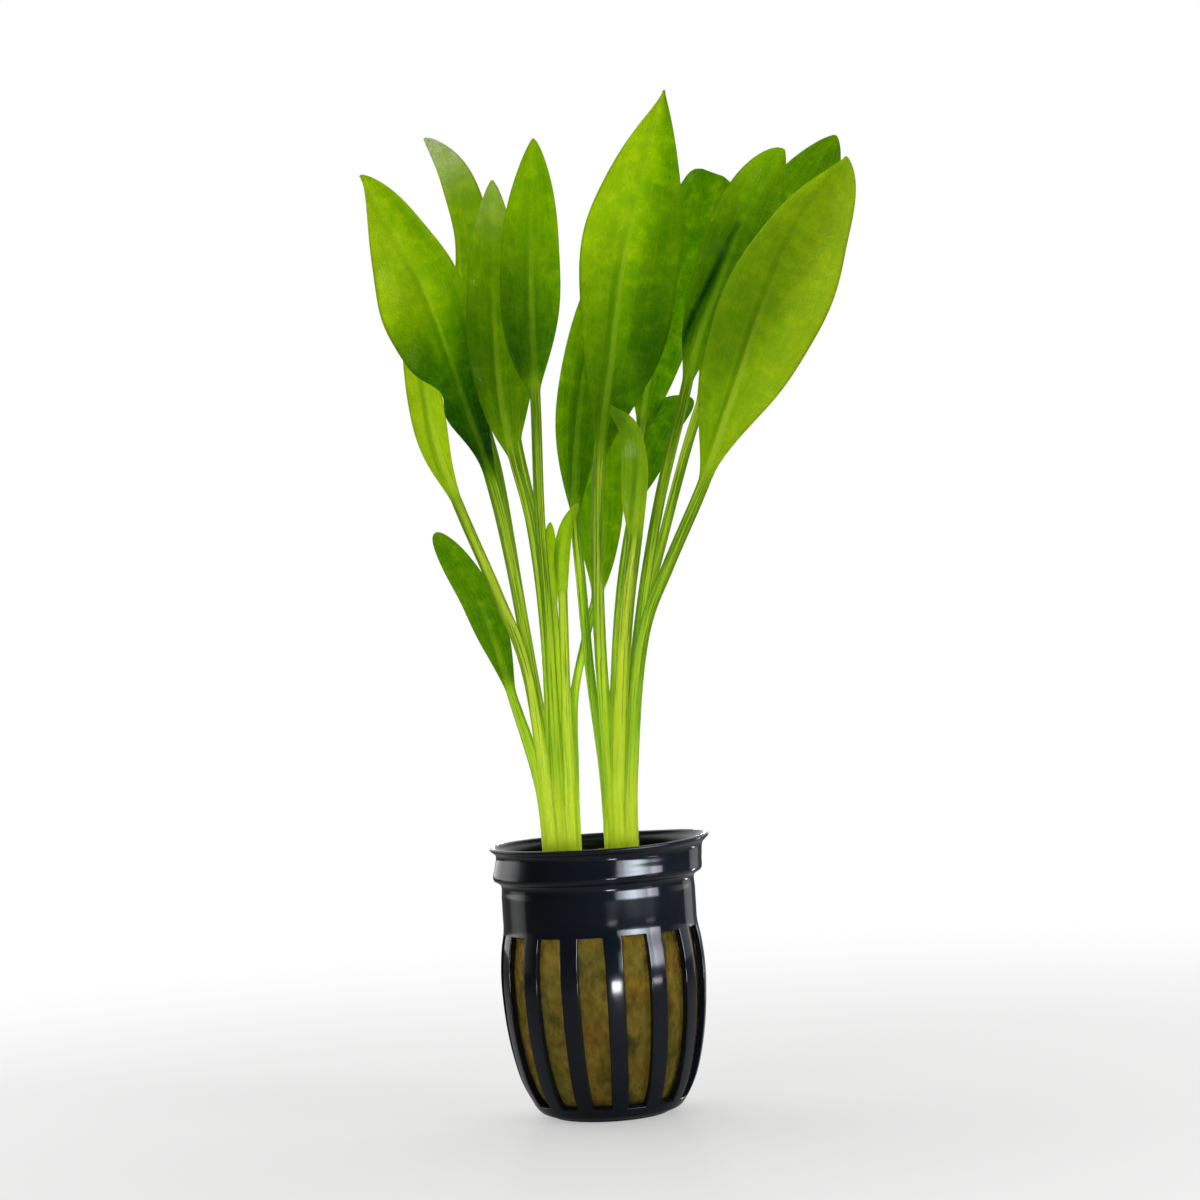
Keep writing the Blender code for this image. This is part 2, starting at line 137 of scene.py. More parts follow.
LEAVES = {
    "left_broad_leaf": Leaf(
        LEFT, (-1.0, 0.5),
        ((-13.2, 1, 109), (-15.8, 0, 131), (-19.1, -2, 150), (-24.6, -3, 170), (-31.4, -5, 194),
         (-38.1, -7, 209), (-45.3, -9, 223.5)),
        80, 1.3, (11.4, 0.55, 3.5, 3.6), (8.8, 0.60, 2.0, 1.7), 20, 6, 8,
        0.8, 3, (0.72, 1.0, 2.6), 0.25, 0.0,
    ),
    "left_lower_leaf": Leaf(
        LEFT, (-1.0, -1.5),
        ((-13.9, -4, 107), (-19.5, -3, 124), (-27.0, 2, 144), (-31.6, 5, 158), (-33.6, 7, 171),
         (-34.4, 9, 186), (-34.6, 10, 202)),
        58, 1.2, (4.6, 0.5, 2.0, 1.3), (3.7, 0.5, 2.0, 1.3), 26, 0, 14,
        0.4, 2, (0.68, 0.68, 0.0), 0.6, 0.0,
    ),
    "left_short_leaf": Leaf(
        LEFT, (-1.5, -0.5),
        ((-17.6, 1, 100), (-20.9, 3, 113), (-24.4, 5, 123), (-29.4, 7, 132.5), (-33.8, 8, 139.4)),
        44, 1.0, (4.2, 0.55, 2.0, 1.0), (4.2, 0.5, 2.0, 1.0), -16, 0, 8,
        0.3, 2, (1.5, 1.5, 0.1), 0.1, 0.0,
    ),
    "left_back_leaf": Leaf(
        LEFT, (-0.5, 1.5),
        ((-14.5, 8, 122), (-18.2, 11, 154), (-21.8, 13, 171), (-24.2, 15.5, 188), (-24.3, 19, 211.5),
         (-26.9, 21.2, 225), (-31.3, 23, 236)),
        74, 1.1, (1.2, 0.6, 2.0, 1.6), (8.2, 0.6, 2.0, 1.8), -22, -8, 12,
        0.5, 3, (1.05, 1.05, 0.2), 0.2, 0.95,
    ),
    "left_middle_leaf": Leaf(
        LEFT, (-0.5, -0.5),
        ((-8.8, -4, 117), (-10.6, -6, 141), (-13.6, -8, 156), (-15.4, -9, 169), (-15.8, -11, 188),
         (-15.2, -13, 204), (-14.4, -16, 219.5)),
        65, 1.1, (6.9, 0.47, 1.8, 1.4), (6.6, 0.5, 2.0, 1.4), -14, 0, 10,
        0.6, 3, (1.05, 1.05, 0.1), 0.1, 0.45,
    ),
    "left_front_leaf": Leaf(
        LEFT, (0.0, -1.5),
        ((-7.8, -9, 117), (-8.2, -13, 140), (-7.5, -17, 166), (-7.2, -20, 182), (-6.4, -24, 200),
         (-5.4, -28, 213), (-4.1, -33, 226)),
        59, 1.1, (7.3, 0.42, 1.8, 1.3), (6.7, 0.46, 2.2, 1.3), 14, 6, -8,
        0.4, 2, (1.0, 1.15, 0.7), 0.15, 0.0,
    ),
    "left_rear_leaf": Leaf(
        LEFT, (0.0, 0.5),
        ((-7.6, 9, 117), (-9.9, 15, 141), (-13.1, 19, 161), (-13.7, 22, 173), (-13.3, 25, 188),
         (-12.1, 31, 211)),
        52, 1.0, (6.0, 0.5, 2.0, 1.4), (6.2, 0.45, 2.0, 1.4), -24, 0, 10,
        0.4, 2, (1.4, 1.4, 0.0), 0.0, 0.0,
    ),
    "left_bud_leaf": Leaf(
        LEFT, (0.5, -0.5),
        ((-6.4, -1.3, 117), (-6.8, -1.6, 128), (-6.0, -2.0, 140)),
        20, 0.9, (1.9, 0.5, 1.5, 1.2), (1.9, 0.5, 1.5, 1.2), 20, 0, 20,
        0.1, 1, (0.8, 0.8, 0.0), 0.8, 0.0,
    ),
    "left_hooked_leaf": Leaf(
        LEFT, (1.0, -1.5),
        ((-4.1, -4.2, 121), (-3.7, -4.3, 132), (-2.1, -4.4, 139), (0.8, -4.6, 144)),
        22, 1.0, (1.8, 0.5, 1.5, 1.2), (1.8, 0.5, 1.5, 1.2), 0, 0, 20,
        0.1, 1, (0.7, 0.7, 0.0), 0.9, 0.0,
    ),
    "crossing_leaf": Leaf(
        LEFT, (1.5, -0.5),
        ((-3.0, 4, 98), (0.6, 7, 112), (4.2, 9, 124), (5.6, 11, 136), (6.6, 14, 152), (7.4, 17, 169),
         (8.0, 21, 187)),
        68, 0.9, (7.6, 0.5, 2.2, 1.4), (5.8, 0.45, 2.2, 1.4), 6, 0, 8,
        0.4, 3, (1.33, 1.33, 0.0), 0.0, 0.0,
    ),
    "right_inner_leaf": Leaf(
        RIGHT, (-1.0, 0.5),
        ((1.1, 1, 107), (0.4, 2, 126), (0.0, 3, 140), (1.3, 5, 157), (4.0, 7, 174), (8.1, 9, 190),
         (12.8, 12, 207)),
        68, 1.1, (6.0, 0.48, 1.9, 1.4), (6.2, 0.5, 1.9, 1.4), -26, 0, 10,
        0.4, 2, (1.28, 1.28, 0.1), 0.0, 0.0,
    ),
    "right_tall_leaf": Leaf(
        RIGHT, (-0.5, -0.5),
        ((4.0, -5, 111), (4.8, -7, 135), (6.7, -9, 156), (10.6, -12, 177), (14.4, -15, 197),
         (19.6, -19, 215), (26.4, -24, 236.6)),
        88, 1.3, (10.2, 0.60, 2.5, 3.4), (13.4, 0.48, 2.5, 2.0), 14, 6, 6,
        0.8, 3, (0.8, 1.32, 0.6), 0.2, 0.0,
    ),
    "right_round_leaf": Leaf(
        RIGHT, (0.0, 0.5),
        ((11.3, 7, 120), (14.2, 10, 144), (16.9, 12, 161), (20.6, 14, 178), (27.3, 16, 195),
         (33.5, 18, 209), (38.1, 20, 223)),
        66, 1.2, (8.4, 0.55, 2.0, 0.55), (8.6, 0.6, 1.0, 0.55), 22, 0, 8,
        0.5, 3, (1.5, 1.5, 0.1), 0.0, 0.0,
    ),
    "right_broad_leaf": Leaf(
        RIGHT, (1.0, -1.5),
        ((14.8, -4, 114), (21.1, -4, 128), (30.9, -5, 147.6), (39.3, -8, 168), (46.9, -11, 187),
         (56.2, -14, 205), (67.7, -18, 219.7)),
        84, 1.3, (10.2, 0.46, 2.4, 2.0), (13.9, 0.57, 2.8, 1.5), -16, -8, 6,
        0.7, 3, (0.74, 0.6, 0.1), 0.05, 0.0,
    ),
    "right_rear_leaf": Leaf(
        RIGHT, (1.0, 0.5),
        ((13.6, 9, 111), (21.3, 15, 137), (30.8, 20, 164.4), (38.0, 23, 180), (47.2, 26, 195.6),
         (57.0, 29, 212.6), (69.8, 33, 232)),
        78, 1.1, (9.4, 0.58, 2.0, 1.6), (9.8, 0.5, 2.0, 1.4), -24, 0, 8,
        0.6, 3, (1.4, 1.4, 0.0), 0.05, 0.0,
    ),
    "right_slim_leaf": Leaf(
        RIGHT, (0.5, -0.5),
        ((13.8, 1, 116), (20.2, 2, 144), (27.2, 3, 167), (31.4, 4, 181), (37.8, 6, 195.4),
         (45.3, 8, 211), (55.3, 11, 226.3)),
        62, 1.2, (7.4, 0.62, 1.4, 1.5), (8.0, 0.5, 2.0, 1.5), 18, 0, 10,
        0.5, 3, (1.05, 1.1, 0.1), 0.1, 0.0,
    ),
    "right_bent_leaf": Leaf(
        RIGHT, (-0.5, 1.5),
        ((9.4, 12, 121), (14.4, 16.5, 144), (18.4, 17.5, 155.5), (23.4, 17.2, 163.4), (30.0, 15.5, 168)),
        31, 1.0, (5.8, 0.5, 1.6, 1.1), (4.6, 0.5, 2.2, 1.1), 14, 0, 10,
        0.3, 2, (1.9, 1.9, 0.0), 0.0, 0.0,
    ),
    "right_young_leaf": Leaf(
        RIGHT, (0.0, -1.5),
        ((10.4, -8, 116), (14.7, -10, 141), (16.0, -11, 154), (14.5, -12, 161.2), (9.6, -13, 165.8)),
        34, 1.5, (4.6, 0.5, 1.6, 1.2), (1.4, 0.5, 1.6, 1.2), -16, 0, 14,
        0.2, 2, (0.65, 0.65, 0.0), 0.45, 0.0,
    ),
}

# A curled notch in the left margin: its place and length as shares of the blade, and its depth as
# a share of the width
Notch = namedtuple("Notch", "place length depth")
NOTCHES = {"left_broad_leaf": Notch(0.31, 0.055, 0.45)}

# A painted shadow line in the left half, where a neighbouring leaf's margin shades it: from where
# to where it runs as shares of the blade, how far from the midrib at both ends, half its width,
# and how much deeper it makes the green
ShadowLine = namedtuple("ShadowLine", "low high low_x high_x half extra")
SHADOW_LINES = {"right_slim_leaf": ShadowLine(0.04, 0.66, -4.2, -1.0, 0.75, 1.6)}

# How finely a leaf is divided: corners across it, closer at the midrib; rings along its stalk and
# its blade, closer at the tip; and points between those of its path. Directions are taken over a
# small share of its length.
COLUMNS = 41
RIB_CLOSER = 1.4
STALK_STEP = 1.6
BLADE_STATIONS = 84
TIP_CLOSER = 0.25
LAST_STATION = 0.998
PATH_STEPS = 24
LOOK_AHEAD = 0.02

# The sheath that a stalk widens to at its foot: its length, half width, half thickness and wrap.
# The stalk: its half width as a share of its solid's radius, and its thickness, front and groove as
# shares of that half width
SHEATH_LENGTH = 46.0
SHEATH_WIDTH = 2.1
SHEATH_THICK = 1.0
SHEATH_WRAP = 0.085
STALK_WIDE = 1.12
STALK_THICK = 0.92
STALK_FRONT = 0.8
STALK_GROOVE = 0.14
# The leaf is turned like its blade from this share of the stalk on
TURNED_BY = 0.8

# The blade: half its thickness; the midrib's thickness, front and groove as shares of its half
# width; by how much it thins and over what share of the blade; how soon the stalk is flat; how
# soft the fold is; how the halves arch; and the quilting's height, cell and seed
LAMINA = 0.24
RIB_THICK = 0.8
RIB_FRONT = 0.1
RIB_GROOVE = 0.245
GROOVE_HALF = 0.45
RIB_FADE = 0.9
RIB_THINNED = 0.8
FLATTENED = 0.12
FOLD_SOFT = 0.8
ARCH = 0.035
QUILT_HEIGHT = 0.16
QUILT_CELL = 7.0
QUILT_SEED = 40
# How the waves grow along the blade and across it, and how they differ by leaf and by half
WAVE_ALONG = 0.7
WAVE_ACROSS = 2.2
LEAF_PHASE = 1.7
HALF_PHASE = 2.1

# Where the deeper green of a blade's foot, partly painted shade, ends, and where one half's green
# starts to go over to the other's and how soon it has, as shares of the way across
DEEP_FOOT = 0.65
OVER_FROM = -0.1
OVER_WIDTH = 0.8
# How far apart the leaves' patterns lie in the shared noise, and how many values it has a side
PATTERN_STEP = 31.0
LATTICE = 24


def ease(t):
    """A smooth rise from 0 to 1 as t does so, level at both ends."""
    t = np.clip(t, 0.0, 1.0)
    return t * t * (3 - 2 * t)


def blend(start, end, share):
    """What lies at a share of the way from start to end."""
    return start + (end - start) * share


def lattice_noise(points, cell, seed):
    """Smooth noise from -1 to 1: random values on a cubic lattice, eased between its corners."""
    values = np.random.default_rng(seed).uniform(-1, 1, (LATTICE, LATTICE, LATTICE))
    scaled = np.asarray(points) / cell
    base = np.floor(scaled).astype(int)
    share = ease(scaled - base)
    total = 0.0
    for corner in np.ndindex(2, 2, 2):
        index = (base + corner) % LATTICE
        weight = np.prod(np.where(corner, share, 1 - share), axis=-1)
        total = total + weight * values[index[..., 0], index[..., 1], index[..., 2]]
    return total


def layered_noise(points, cell, seed, layers=3):
    """Noise of several lattices, each half as coarse and half as strong as the one before."""
    return sum(0.5**k * lattice_noise(points, cell * 0.5**k, seed + k) for k in range(layers))


def stir(points, noises):
    """How far some noises, each with its height, cell, seed and layers, move a surface."""
    return sum(height * layered_noise(points, *noise) for height, *noise in noises)


def smooth_path(points):
    """A fine run of points on a smooth curve through the given ones, paced by the root of their gaps."""
    p = np.asarray(points, float)
    ends = np.vstack([2 * p[0] - p[1], p, 2 * p[-1] - p[-2]])
    knots = np.concatenate([[0.0], np.cumsum(np.linalg.norm(np.diff(ends, axis=0), axis=1) ** 0.5)])
    run = []
    for i in range(1, len(ends) - 2):
        t0, t1, t2, t3 = knots[i - 1 : i + 3]
        a, b, c, d = ends[i - 1 : i + 3]
        t = np.linspace(t1, t2, PATH_STEPS, endpoint=False)[:, None]
        ab = (t1 - t) / (t1 - t0) * a + (t - t0) / (t1 - t0) * b
        bc = (t2 - t) / (t2 - t1) * b + (t - t1) / (t2 - t1) * c
        cd = (t3 - t) / (t3 - t2) * c + (t - t2) / (t3 - t2) * d
        abc = (t2 - t) / (t2 - t0) * ab + (t - t0) / (t2 - t0) * bc
        bcd = (t3 - t) / (t3 - t1) * bc + (t - t1) / (t3 - t1) * cd
        run.append((t2 - t) / (t2 - t1) * abc + (t - t1) / (t2 - t1) * bcd)
    return np.vstack([*run, p[-1]])


def length_along(path):
    """How far along the path each of its points is."""
    return np.concatenate([[0.0], np.cumsum(np.linalg.norm(np.diff(path, axis=0), axis=1))])


def on_path(path, lengths):
    """The points of the path at the given lengths along it."""
    along = length_along(path)
    return np.stack([np.interp(lengths, along, path[:, i]) for i in range(3)], axis=1)


def directions(path, lengths):
    """Which way the path runs at the given lengths along it, as unit vectors."""
    step = LOOK_AHEAD * length_along(path)[-1]
    ahead = on_path(path, lengths + step) - on_path(path, lengths - step)
    return ahead / np.linalg.norm(ahead, axis=1)[:, None]


def outline(s, half):
    """The width of one half of a blade at share s of its length, from 0 at its foot to 0 at its tip.

    It is a bell, (s/m)^m times ((1-s)/(1-m))^(1-m), with its top at the widest place m, raised to
    one power below that place and to another above it.
    """
    width, widest, foot, tip = half
    s = np.clip(s, 1e-6, 1 - 1e-6)
    bell = (s / widest) ** widest * ((1 - s) / (1 - widest)) ** (1 - widest)
    return width * np.where(s < widest, bell**foot, bell**tip)


def cells(*corners):
    """Faces, as a list, from arrays of the numbers of their corners."""
    return np.stack(np.broadcast_arrays(*corners), axis=-1).reshape(-1, len(corners)).tolist()


def grid_faces(rows, columns):
    """Faces of a grid of corners, row after row, whose last column joins its first."""
    i = np.arange(rows - 1)[:, None] * columns
    j = np.arange(columns)
    k = (j + 1) % columns
    return cells(i + j, i + k, i + columns + k, i + columns + j)


def middles(rows):
    """The middle of the first row and of the last one."""
    return rows[0].mean(axis=0), rows[-1].mean(axis=0)


def closed_rows(rows, ends, flip=True):
    """Corners and faces of rows round an axis, with a corner that closes each end that is given."""
    count, columns = rows.shape[:2]
    j = np.arange(columns)
    k = (j + 1) % columns
    last = (count - 1) * columns
    faces = grid_faces(count, columns) + cells(k, j, count * columns)
    if len(ends) > 1:
        faces += cells(last + j, last + k, count * columns + 1)
    if flip:
        faces = [face[::-1] for face in faces]
    return np.vstack([rows.reshape(-1, 3), *ends]), faces


def turned(r, z, around):
    """Corners at a radius and a height, for each angle round the pot's axis."""
    return np.stack(np.broadcast_arrays(r * np.cos(around), r * np.sin(around), z), axis=-1)


def add_object(name, data):
    """A new object in the scene."""
    thing = bpy.data.objects.new(name, data)
    bpy.context.collection.objects.link(thing)
    return thing


def new_piece(name, vertices, faces, material, slot=None, replaced=None, smooth_below=180):
    """A piece from corners in mm and faces, at the origin, unturned and unscaled.

    It rides on the one body. A piece without a slot is part of the stage.
    """
    mesh = bpy.data.meshes.new(name)
    mesh.from_pydata(np.asarray(vertices) * MM, [], faces)
    mesh.update()
    piece = add_object(name, mesh)
    mesh.materials.append(material)
    mesh.shade_smooth()
    if smooth_below < 180:
        mesh.set_sharp_from_angle(angle=math.radians(smooth_below))
    if slot is None:
        return piece
    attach(piece, "root")
    if replaced is not None:
        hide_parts(replaced)
    return piece


def add_attribute(piece, name, rows, ends):
    """Gives each corner, of the rows and then of the ends, a vector that the material reads."""
    layer = piece.data.attributes.new(name, "FLOAT_VECTOR", "POINT")
    layer.data.foreach_set("vector", np.vstack([rows.reshape(-1, 3), *ends]).astype(np.float32).ravel())


def foot_of(leaf):
    """Where a stalk stands on its crown, in a hexagonal bundle."""
    column, row = leaf.place
    pitch = leaf.clump.pitch
    return leaf.clump.x + column * pitch, leaf.clump.y + row * pitch * ROW_STEP


def leaf_path(leaf):
    """The leaf's midline: nearly upright from its foot, then through its path points."""
    x, y = foot_of(leaf)
    lean = LEAN * (np.array(leaf.path[0][:2]) - (x, y))
    upright = (x + lean[0], y + lean[1], STALK_FOOT + STRAIGHT)
    return smooth_path([(x, y, STALK_FOOT), upright, *leaf.path])


def leaf_stations(leaf, total):
    """Lengths along the leaf at which it has a ring, and the share of the blade there.

    On the blade the rings lie closer near the tip.
    """
    stalk = total - leaf.blade
    on_stalk = np.linspace(0.0, stalk, int(stalk / STALK_STEP), endpoint=False)
    t = np.linspace(0.0, 1.0, BLADE_STATIONS)
    on_blade = stalk + leaf.blade * LAST_STATION * blend(t, np.sin(t * math.pi / 2), TIP_CLOSER)
    lengths = np.concatenate([on_stalk, on_blade])
    return lengths, (lengths - stalk) / leaf.blade


def outward(leaf):
    """Which way the back of the stalk faces at its foot, and whether that is towards -Y."""
    x, y = foot_of(leaf)
    away = np.array([x - leaf.clump.x, y - leaf.clump.y])
    away = away / max(np.linalg.norm(away), 1e-9)
    facing = np.array([math.sin(math.radians(leaf.turn)), -math.cos(math.radians(leaf.turn))])
    sign = 1.0 if away @ facing >= 0 else -1.0
    return away, sign


def leaf_axes(leaf, path, lengths, s):
    """Unit vectors across the leaf and out of its face at each station.

    At the foot the leaf's back faces away from the middle of its clump. Higher up it turns evenly
    until the blade has its own turn, with a twist that grows towards the tip.
    """
    along = directions(path, lengths)
    away, sign = outward(leaf)
    foot_turn = math.atan2(sign * away[0], -sign * away[1])
    blade_turn = np.radians(leaf.turn + leaf.twist * np.clip(s, 0, 1))
    stalk = length_along(path)[-1] - leaf.blade
    turn = blend(foot_turn, blade_turn, ease(lengths / (TURNED_BY * stalk)))
    facing = np.stack([np.sin(turn), -np.cos(turn), 0 * turn], axis=1)
    normal = facing - (facing * along).sum(axis=1)[:, None] * along
    normal /= np.linalg.norm(normal, axis=1)[:, None]
    return np.cross(along, normal), normal, blade_turn, sign


def across_shares(flat):
    """Places across the leaf from -1 to 1: evenly round a stalk, and closer at a blade's midrib."""
    u = np.linspace(-1, 1, COLUMNS)[None, :]
    return blend(np.sin(u * math.pi / 2), np.sign(u) * np.abs(u) ** RIB_CLOSER, flat)


def half_widths(name, leaf, s, rib, blade_turn, rise):
    """The widths of the two halves at each station, from the midline to the margin.

    The outline is what is seen from -Y, so it is divided by the cosine of the turn.
    """
    halves = []
    for half, sign in ((leaf.left, -1), (leaf.right, 1)):
        seen = np.cos(blade_turn) + sign * rise * np.sin(blade_turn)
        width = outline(s, half) / seen * (s > 0)
        if name in NOTCHES and sign < 0:
            notch = NOTCHES[name]
            width = width * (1 - notch.depth * np.exp(-(((s - notch.place) / notch.length) ** 2)))
        halves.append(np.hypot(rib, width))
    return halves


def half_thicknesses(a, x, wide, thick, flat, sheath):
    """How far the leaf's back and front stand off from its middle surface.

    The back stands off by the half thickness of the lamina, or by a half ellipse of the stalk
    where that is more, so that the stalk runs on as the midrib. The front does the same, lower,
    and with a groove along the midrib.
    """
    margin = LAMINA * np.sqrt(np.clip(1 - a**8, 0, 1)) * flat
    body = thick * np.sqrt(np.clip(1 - (x / wide) ** 2, 0, 1))
    front_body = blend(STALK_FRONT, RIB_FRONT, flat) * body
    groove = thick * np.exp(-((x / (GROOVE_HALF * wide)) ** 2)) * (1 - sheath)
    back, front = ((part**3 + margin**3) ** (1 / 3) for part in (body, front_body))
    return back, front - groove * blend(STALK_GROOVE, RIB_GROOVE, flat)


def green_depth_and_shade(name, leaf, a, x, s, flat):
    """How deep the leaf's green is beside a fresh leaf: one depth for each half, more at the foot, partly
    the leaf's own green and partly painted shade where leaves overlap; a shadow line adds painted shadow.
    """
    left, right, foot = leaf.depths
    over = ease((a - OVER_FROM) / OVER_WIDTH)
    depth = blend(left, right, over) + foot * (1 - ease(s / DEEP_FOOT))
    # Painted shadow: a dark line where a neighbouring leaf's margin shades this one
    if name in SHADOW_LINES:
        shadow_line = SHADOW_LINES[name]
        up = np.clip((s - shadow_line.low) / (shadow_line.high - shadow_line.low), 0, 1)
        off = x - blend(shadow_line.low_x, shadow_line.high_x, up)
        depth = depth + shadow_line.extra * np.exp(-((off / shadow_line.half) ** 2)) * np.sin(math.pi * up) ** 0.5
    return blend(1, depth, flat)


def round_leaf(back, front):
    """Rows that run across the leaf's back and return across its front."""
    return np.concatenate([back, front[:, -2:0:-1]], axis=1)


def leaf_surface(name, leaf, number):
    """A leaf's skin as rings of corners along it, and what its material reads there.

    Across the leaf its middle surface is a V with a rounded bottom, plus a wave that grows with
    about the square of the distance to the margin, plus a slight quilting.
    """
    path = leaf_path(leaf)
    lengths, s = leaf_stations(leaf, length_along(path)[-1])
    side, normal, blade_turn, sign = leaf_axes(leaf, path, lengths, s)
    centre, side, normal = (v[:, None, :] for v in (on_path(path, lengths), side, normal))
    lengths, s, blade_turn = (v[:, None] for v in (lengths, s, blade_turn))
    flat = ease(s / FLATTENED)
    sheath = 1 - ease(lengths / SHEATH_LENGTH)
    stalk = leaf.stalk * STALK_WIDE * (1 - RIB_THINNED * ease(s / RIB_FADE))
    wide = blend(stalk, SHEATH_WIDTH, sheath)
    thick = stalk * blend(STALK_THICK, RIB_THICK, flat) + (SHEATH_THICK - stalk) * sheath
    rise = math.tan(math.radians(leaf.fold)) * flat
    left, right = half_widths(name, leaf, s, wide, blade_turn, rise)
    a = across_shares(flat)
    half = np.where(a < 0, left, right)
    x = a * half
    back, front = half_thicknesses(a, x, wide, thick, flat, sheath)
    grow = np.sin(np.clip(s, 0, 1) * math.pi) ** WAVE_ALONG * (s > 0) * np.abs(a) ** WAVE_ACROSS
    phase = number * LEAF_PHASE + np.where(a < 0, 0.0, HALF_PHASE)
    wave = leaf.wave * grow * np.sin(2 * math.pi * leaf.waves * s + phase)
    tray = (np.sqrt(x**2 + FOLD_SOFT**2) - FOLD_SOFT) * rise
    arch = -ARCH * np.minimum(left, right) * np.sin(math.pi * np.abs(a)) * flat * sign
    wrap = -SHEATH_WRAP * x**2 * sheath * sign
    middle = centre + side * x[..., None]
    quilt = QUILT_HEIGHT * layered_noise(middle, QUILT_CELL, QUILT_SEED + number)
    height = tray + wave + arch + wrap + quilt * flat * (1 - np.abs(a) ** 4)
    back_skin = middle + normal * (height + sign * back)[..., None]
    front_skin = middle + normal * (height - sign * front)[..., None]
    depth = green_depth_and_shade(name, leaf, a, x, s, flat)
    read = ((a, s, half), (x, lengths, PATTERN_STEP * number), (depth, leaf.yellow, leaf.frost))
    layers = [np.stack(np.broadcast_arrays(*values), axis=-1) for values in read]
    return round_leaf(back_skin, front_skin), [round_leaf(v, v) for v in layers], path[-1], sign


def make_leaf(name, leaf, number, material):
    """A leaf as one closed mesh, flat at its foot and drawn to a point at its tip."""
    rings, (place, measure, tint), tip, sign = leaf_surface(name, leaf, number)
    vertices, faces = closed_rows(rings, (middles(rings)[0], tip), flip=sign < 0)
    piece = new_piece(name + "_skin", vertices, faces, material, "leaf", name)
    total, pattern = measure[-1, 0, 1], measure[0, 0, 2]
    add_attribute(piece, "leaf_place", place, ([0.0, place[0, 0, 1], 1.0], [0.0, 1.0, 0.1]))
    add_attribute(piece, "leaf_measure", measure, ([0.0, 0.0, pattern], [0.0, total, pattern]))
    add_attribute(piece, "leaf_tint", tint, (tint[0, 0], tint[-1, 0]))


def rgba(colour):
    """A colour with full alpha."""
    return (*tuple(colour)[:3], 1.0)


def one_face(colour):
    """What each of a leaf's two faces lets through, so that both together let through the colour."""
    return [c**0.5 for c in colour]


class Nodes:
    """Puts nodes in a tree. An input's value is a number, a colour or another node's output."""

    def __init__(self, tree):
        self.tree = tree

    def feed(self, node, inputs):
        """Sets or links some inputs of a node."""
        for key, value in inputs.items():
            if isinstance(value, bpy.types.NodeSocket):
                self.tree.links.new(value, node.inputs[key])
            else:
                node.inputs[key].default_value = value

    def put(self, kind, inputs, **settings):
        """A new shader node with its settings made and its inputs set or linked."""
        node = self.tree.nodes.new("ShaderNode" + kind)
        for name, value in settings.items():
            setattr(node, name, value)
        self.feed(node, inputs)
        return node

    def math(self, operation, *values):
        """One sum of one or two values."""
        return self.put("Math", dict(enumerate(values)), operation=operation).outputs[0]

    def times(self, first, *others):
        """The product of some values."""
        for other in others:
            first = self.math("MULTIPLY", first, other)
        return first

    def ramp(self, value, low, high, start=0.0, end=1.0):
        """A smooth step of value from low to high, giving start to end."""
        inputs = {"Value": value, "From Min": low, "From Max": high, "To Min": start, "To Max": end}
        return self.put("MapRange", inputs, interpolation_type="SMOOTHSTEP").outputs[0]

    def fade(self, value, low, high):
        """1 up to low and 0 from high, with a smooth step between them."""
        return self.ramp(value, low, high, 1.0, 0.0)

    def between(self, share, start, end):
        """A value that goes smoothly from start to end as a share goes from 0 to 1."""
        return self.ramp(share, 0.0, 1.0, start, end)

    def mix(self, factor, first, second, way="MIX"):
        """Two colours mixed by a factor."""
        colours = [c if isinstance(c, bpy.types.NodeSocket) else rgba(c) for c in (first, second)]
        inputs = {0: factor, 6: colours[0], 7: colours[1]}
        return self.put("Mix", inputs, data_type="RGBA", blend_type=way).outputs[2]

    def layers(self, colour, *coats):
        """A colour under coats of others, each with its mask."""
        for mask, over in coats:
            colour = self.mix(mask, colour, over)
        return colour

    def noise(self, vector, scale, detail=3.0, rough=0.55):
        """Soft noise from 0 to 1."""
        inputs = {"Vector": vector, "Scale": scale, "Detail": detail, "Roughness": rough}
        return self.put("TexNoise", inputs).outputs[0]

    def stretched(self, vector, across, upright):
        """A place scaled by one value across and by another along the pot's axis."""
        inputs = {"Vector": vector, "Scale": (across, across, upright)}
        return self.put("Mapping", inputs).outputs[0]

    def place(self):
        """Where a point of the object is, in metres."""
        return self.put("TexCoord", {}).outputs["Object"]

    def attribute(self, name):
        """A vector that each corner of the mesh carries."""
        return self.put("Attribute", {}, attribute_name=name).outputs["Vector"]

    def parts(self, vector):
        """The three numbers of a vector."""
        return self.put("SeparateXYZ", {0: vector}).outputs

    def vector(self, x, y, z):
        """A vector of three numbers."""
        return self.put("CombineXYZ", {0: x, 1: y, 2: z}).outputs[0]

    def gamma(self, colour, power):
        """A colour to a power."""
        return self.put("Gamma", {"Color": colour, "Gamma": power}).outputs[0]

    def bump(self, height, strength, distance):
        """A normal from a height."""
        inputs = {"Strength": strength, "Distance": distance, "Height": height}
        return self.put("Bump", inputs).outputs[0]

    def shaders(self, share, first, second):
        """Two shaders mixed by a share."""
        return self.put("MixShader", {0: share, 1: first, 2: second}).outputs[0]

    def off_camera(self, value):
        """A value for all light but what the camera sees directly, which is 1."""
        camera_ray = self.put("LightPath", {}).outputs["Is Camera Ray"]
        return self.put("Mix", {0: camera_ray, 2: value, 3: 1.0}).outputs[0]

    def group(self, name, inputs):
        """The outputs of a placed node group."""
        return self.put("Group", inputs, node_tree=bpy.data.node_groups[name]).outputs


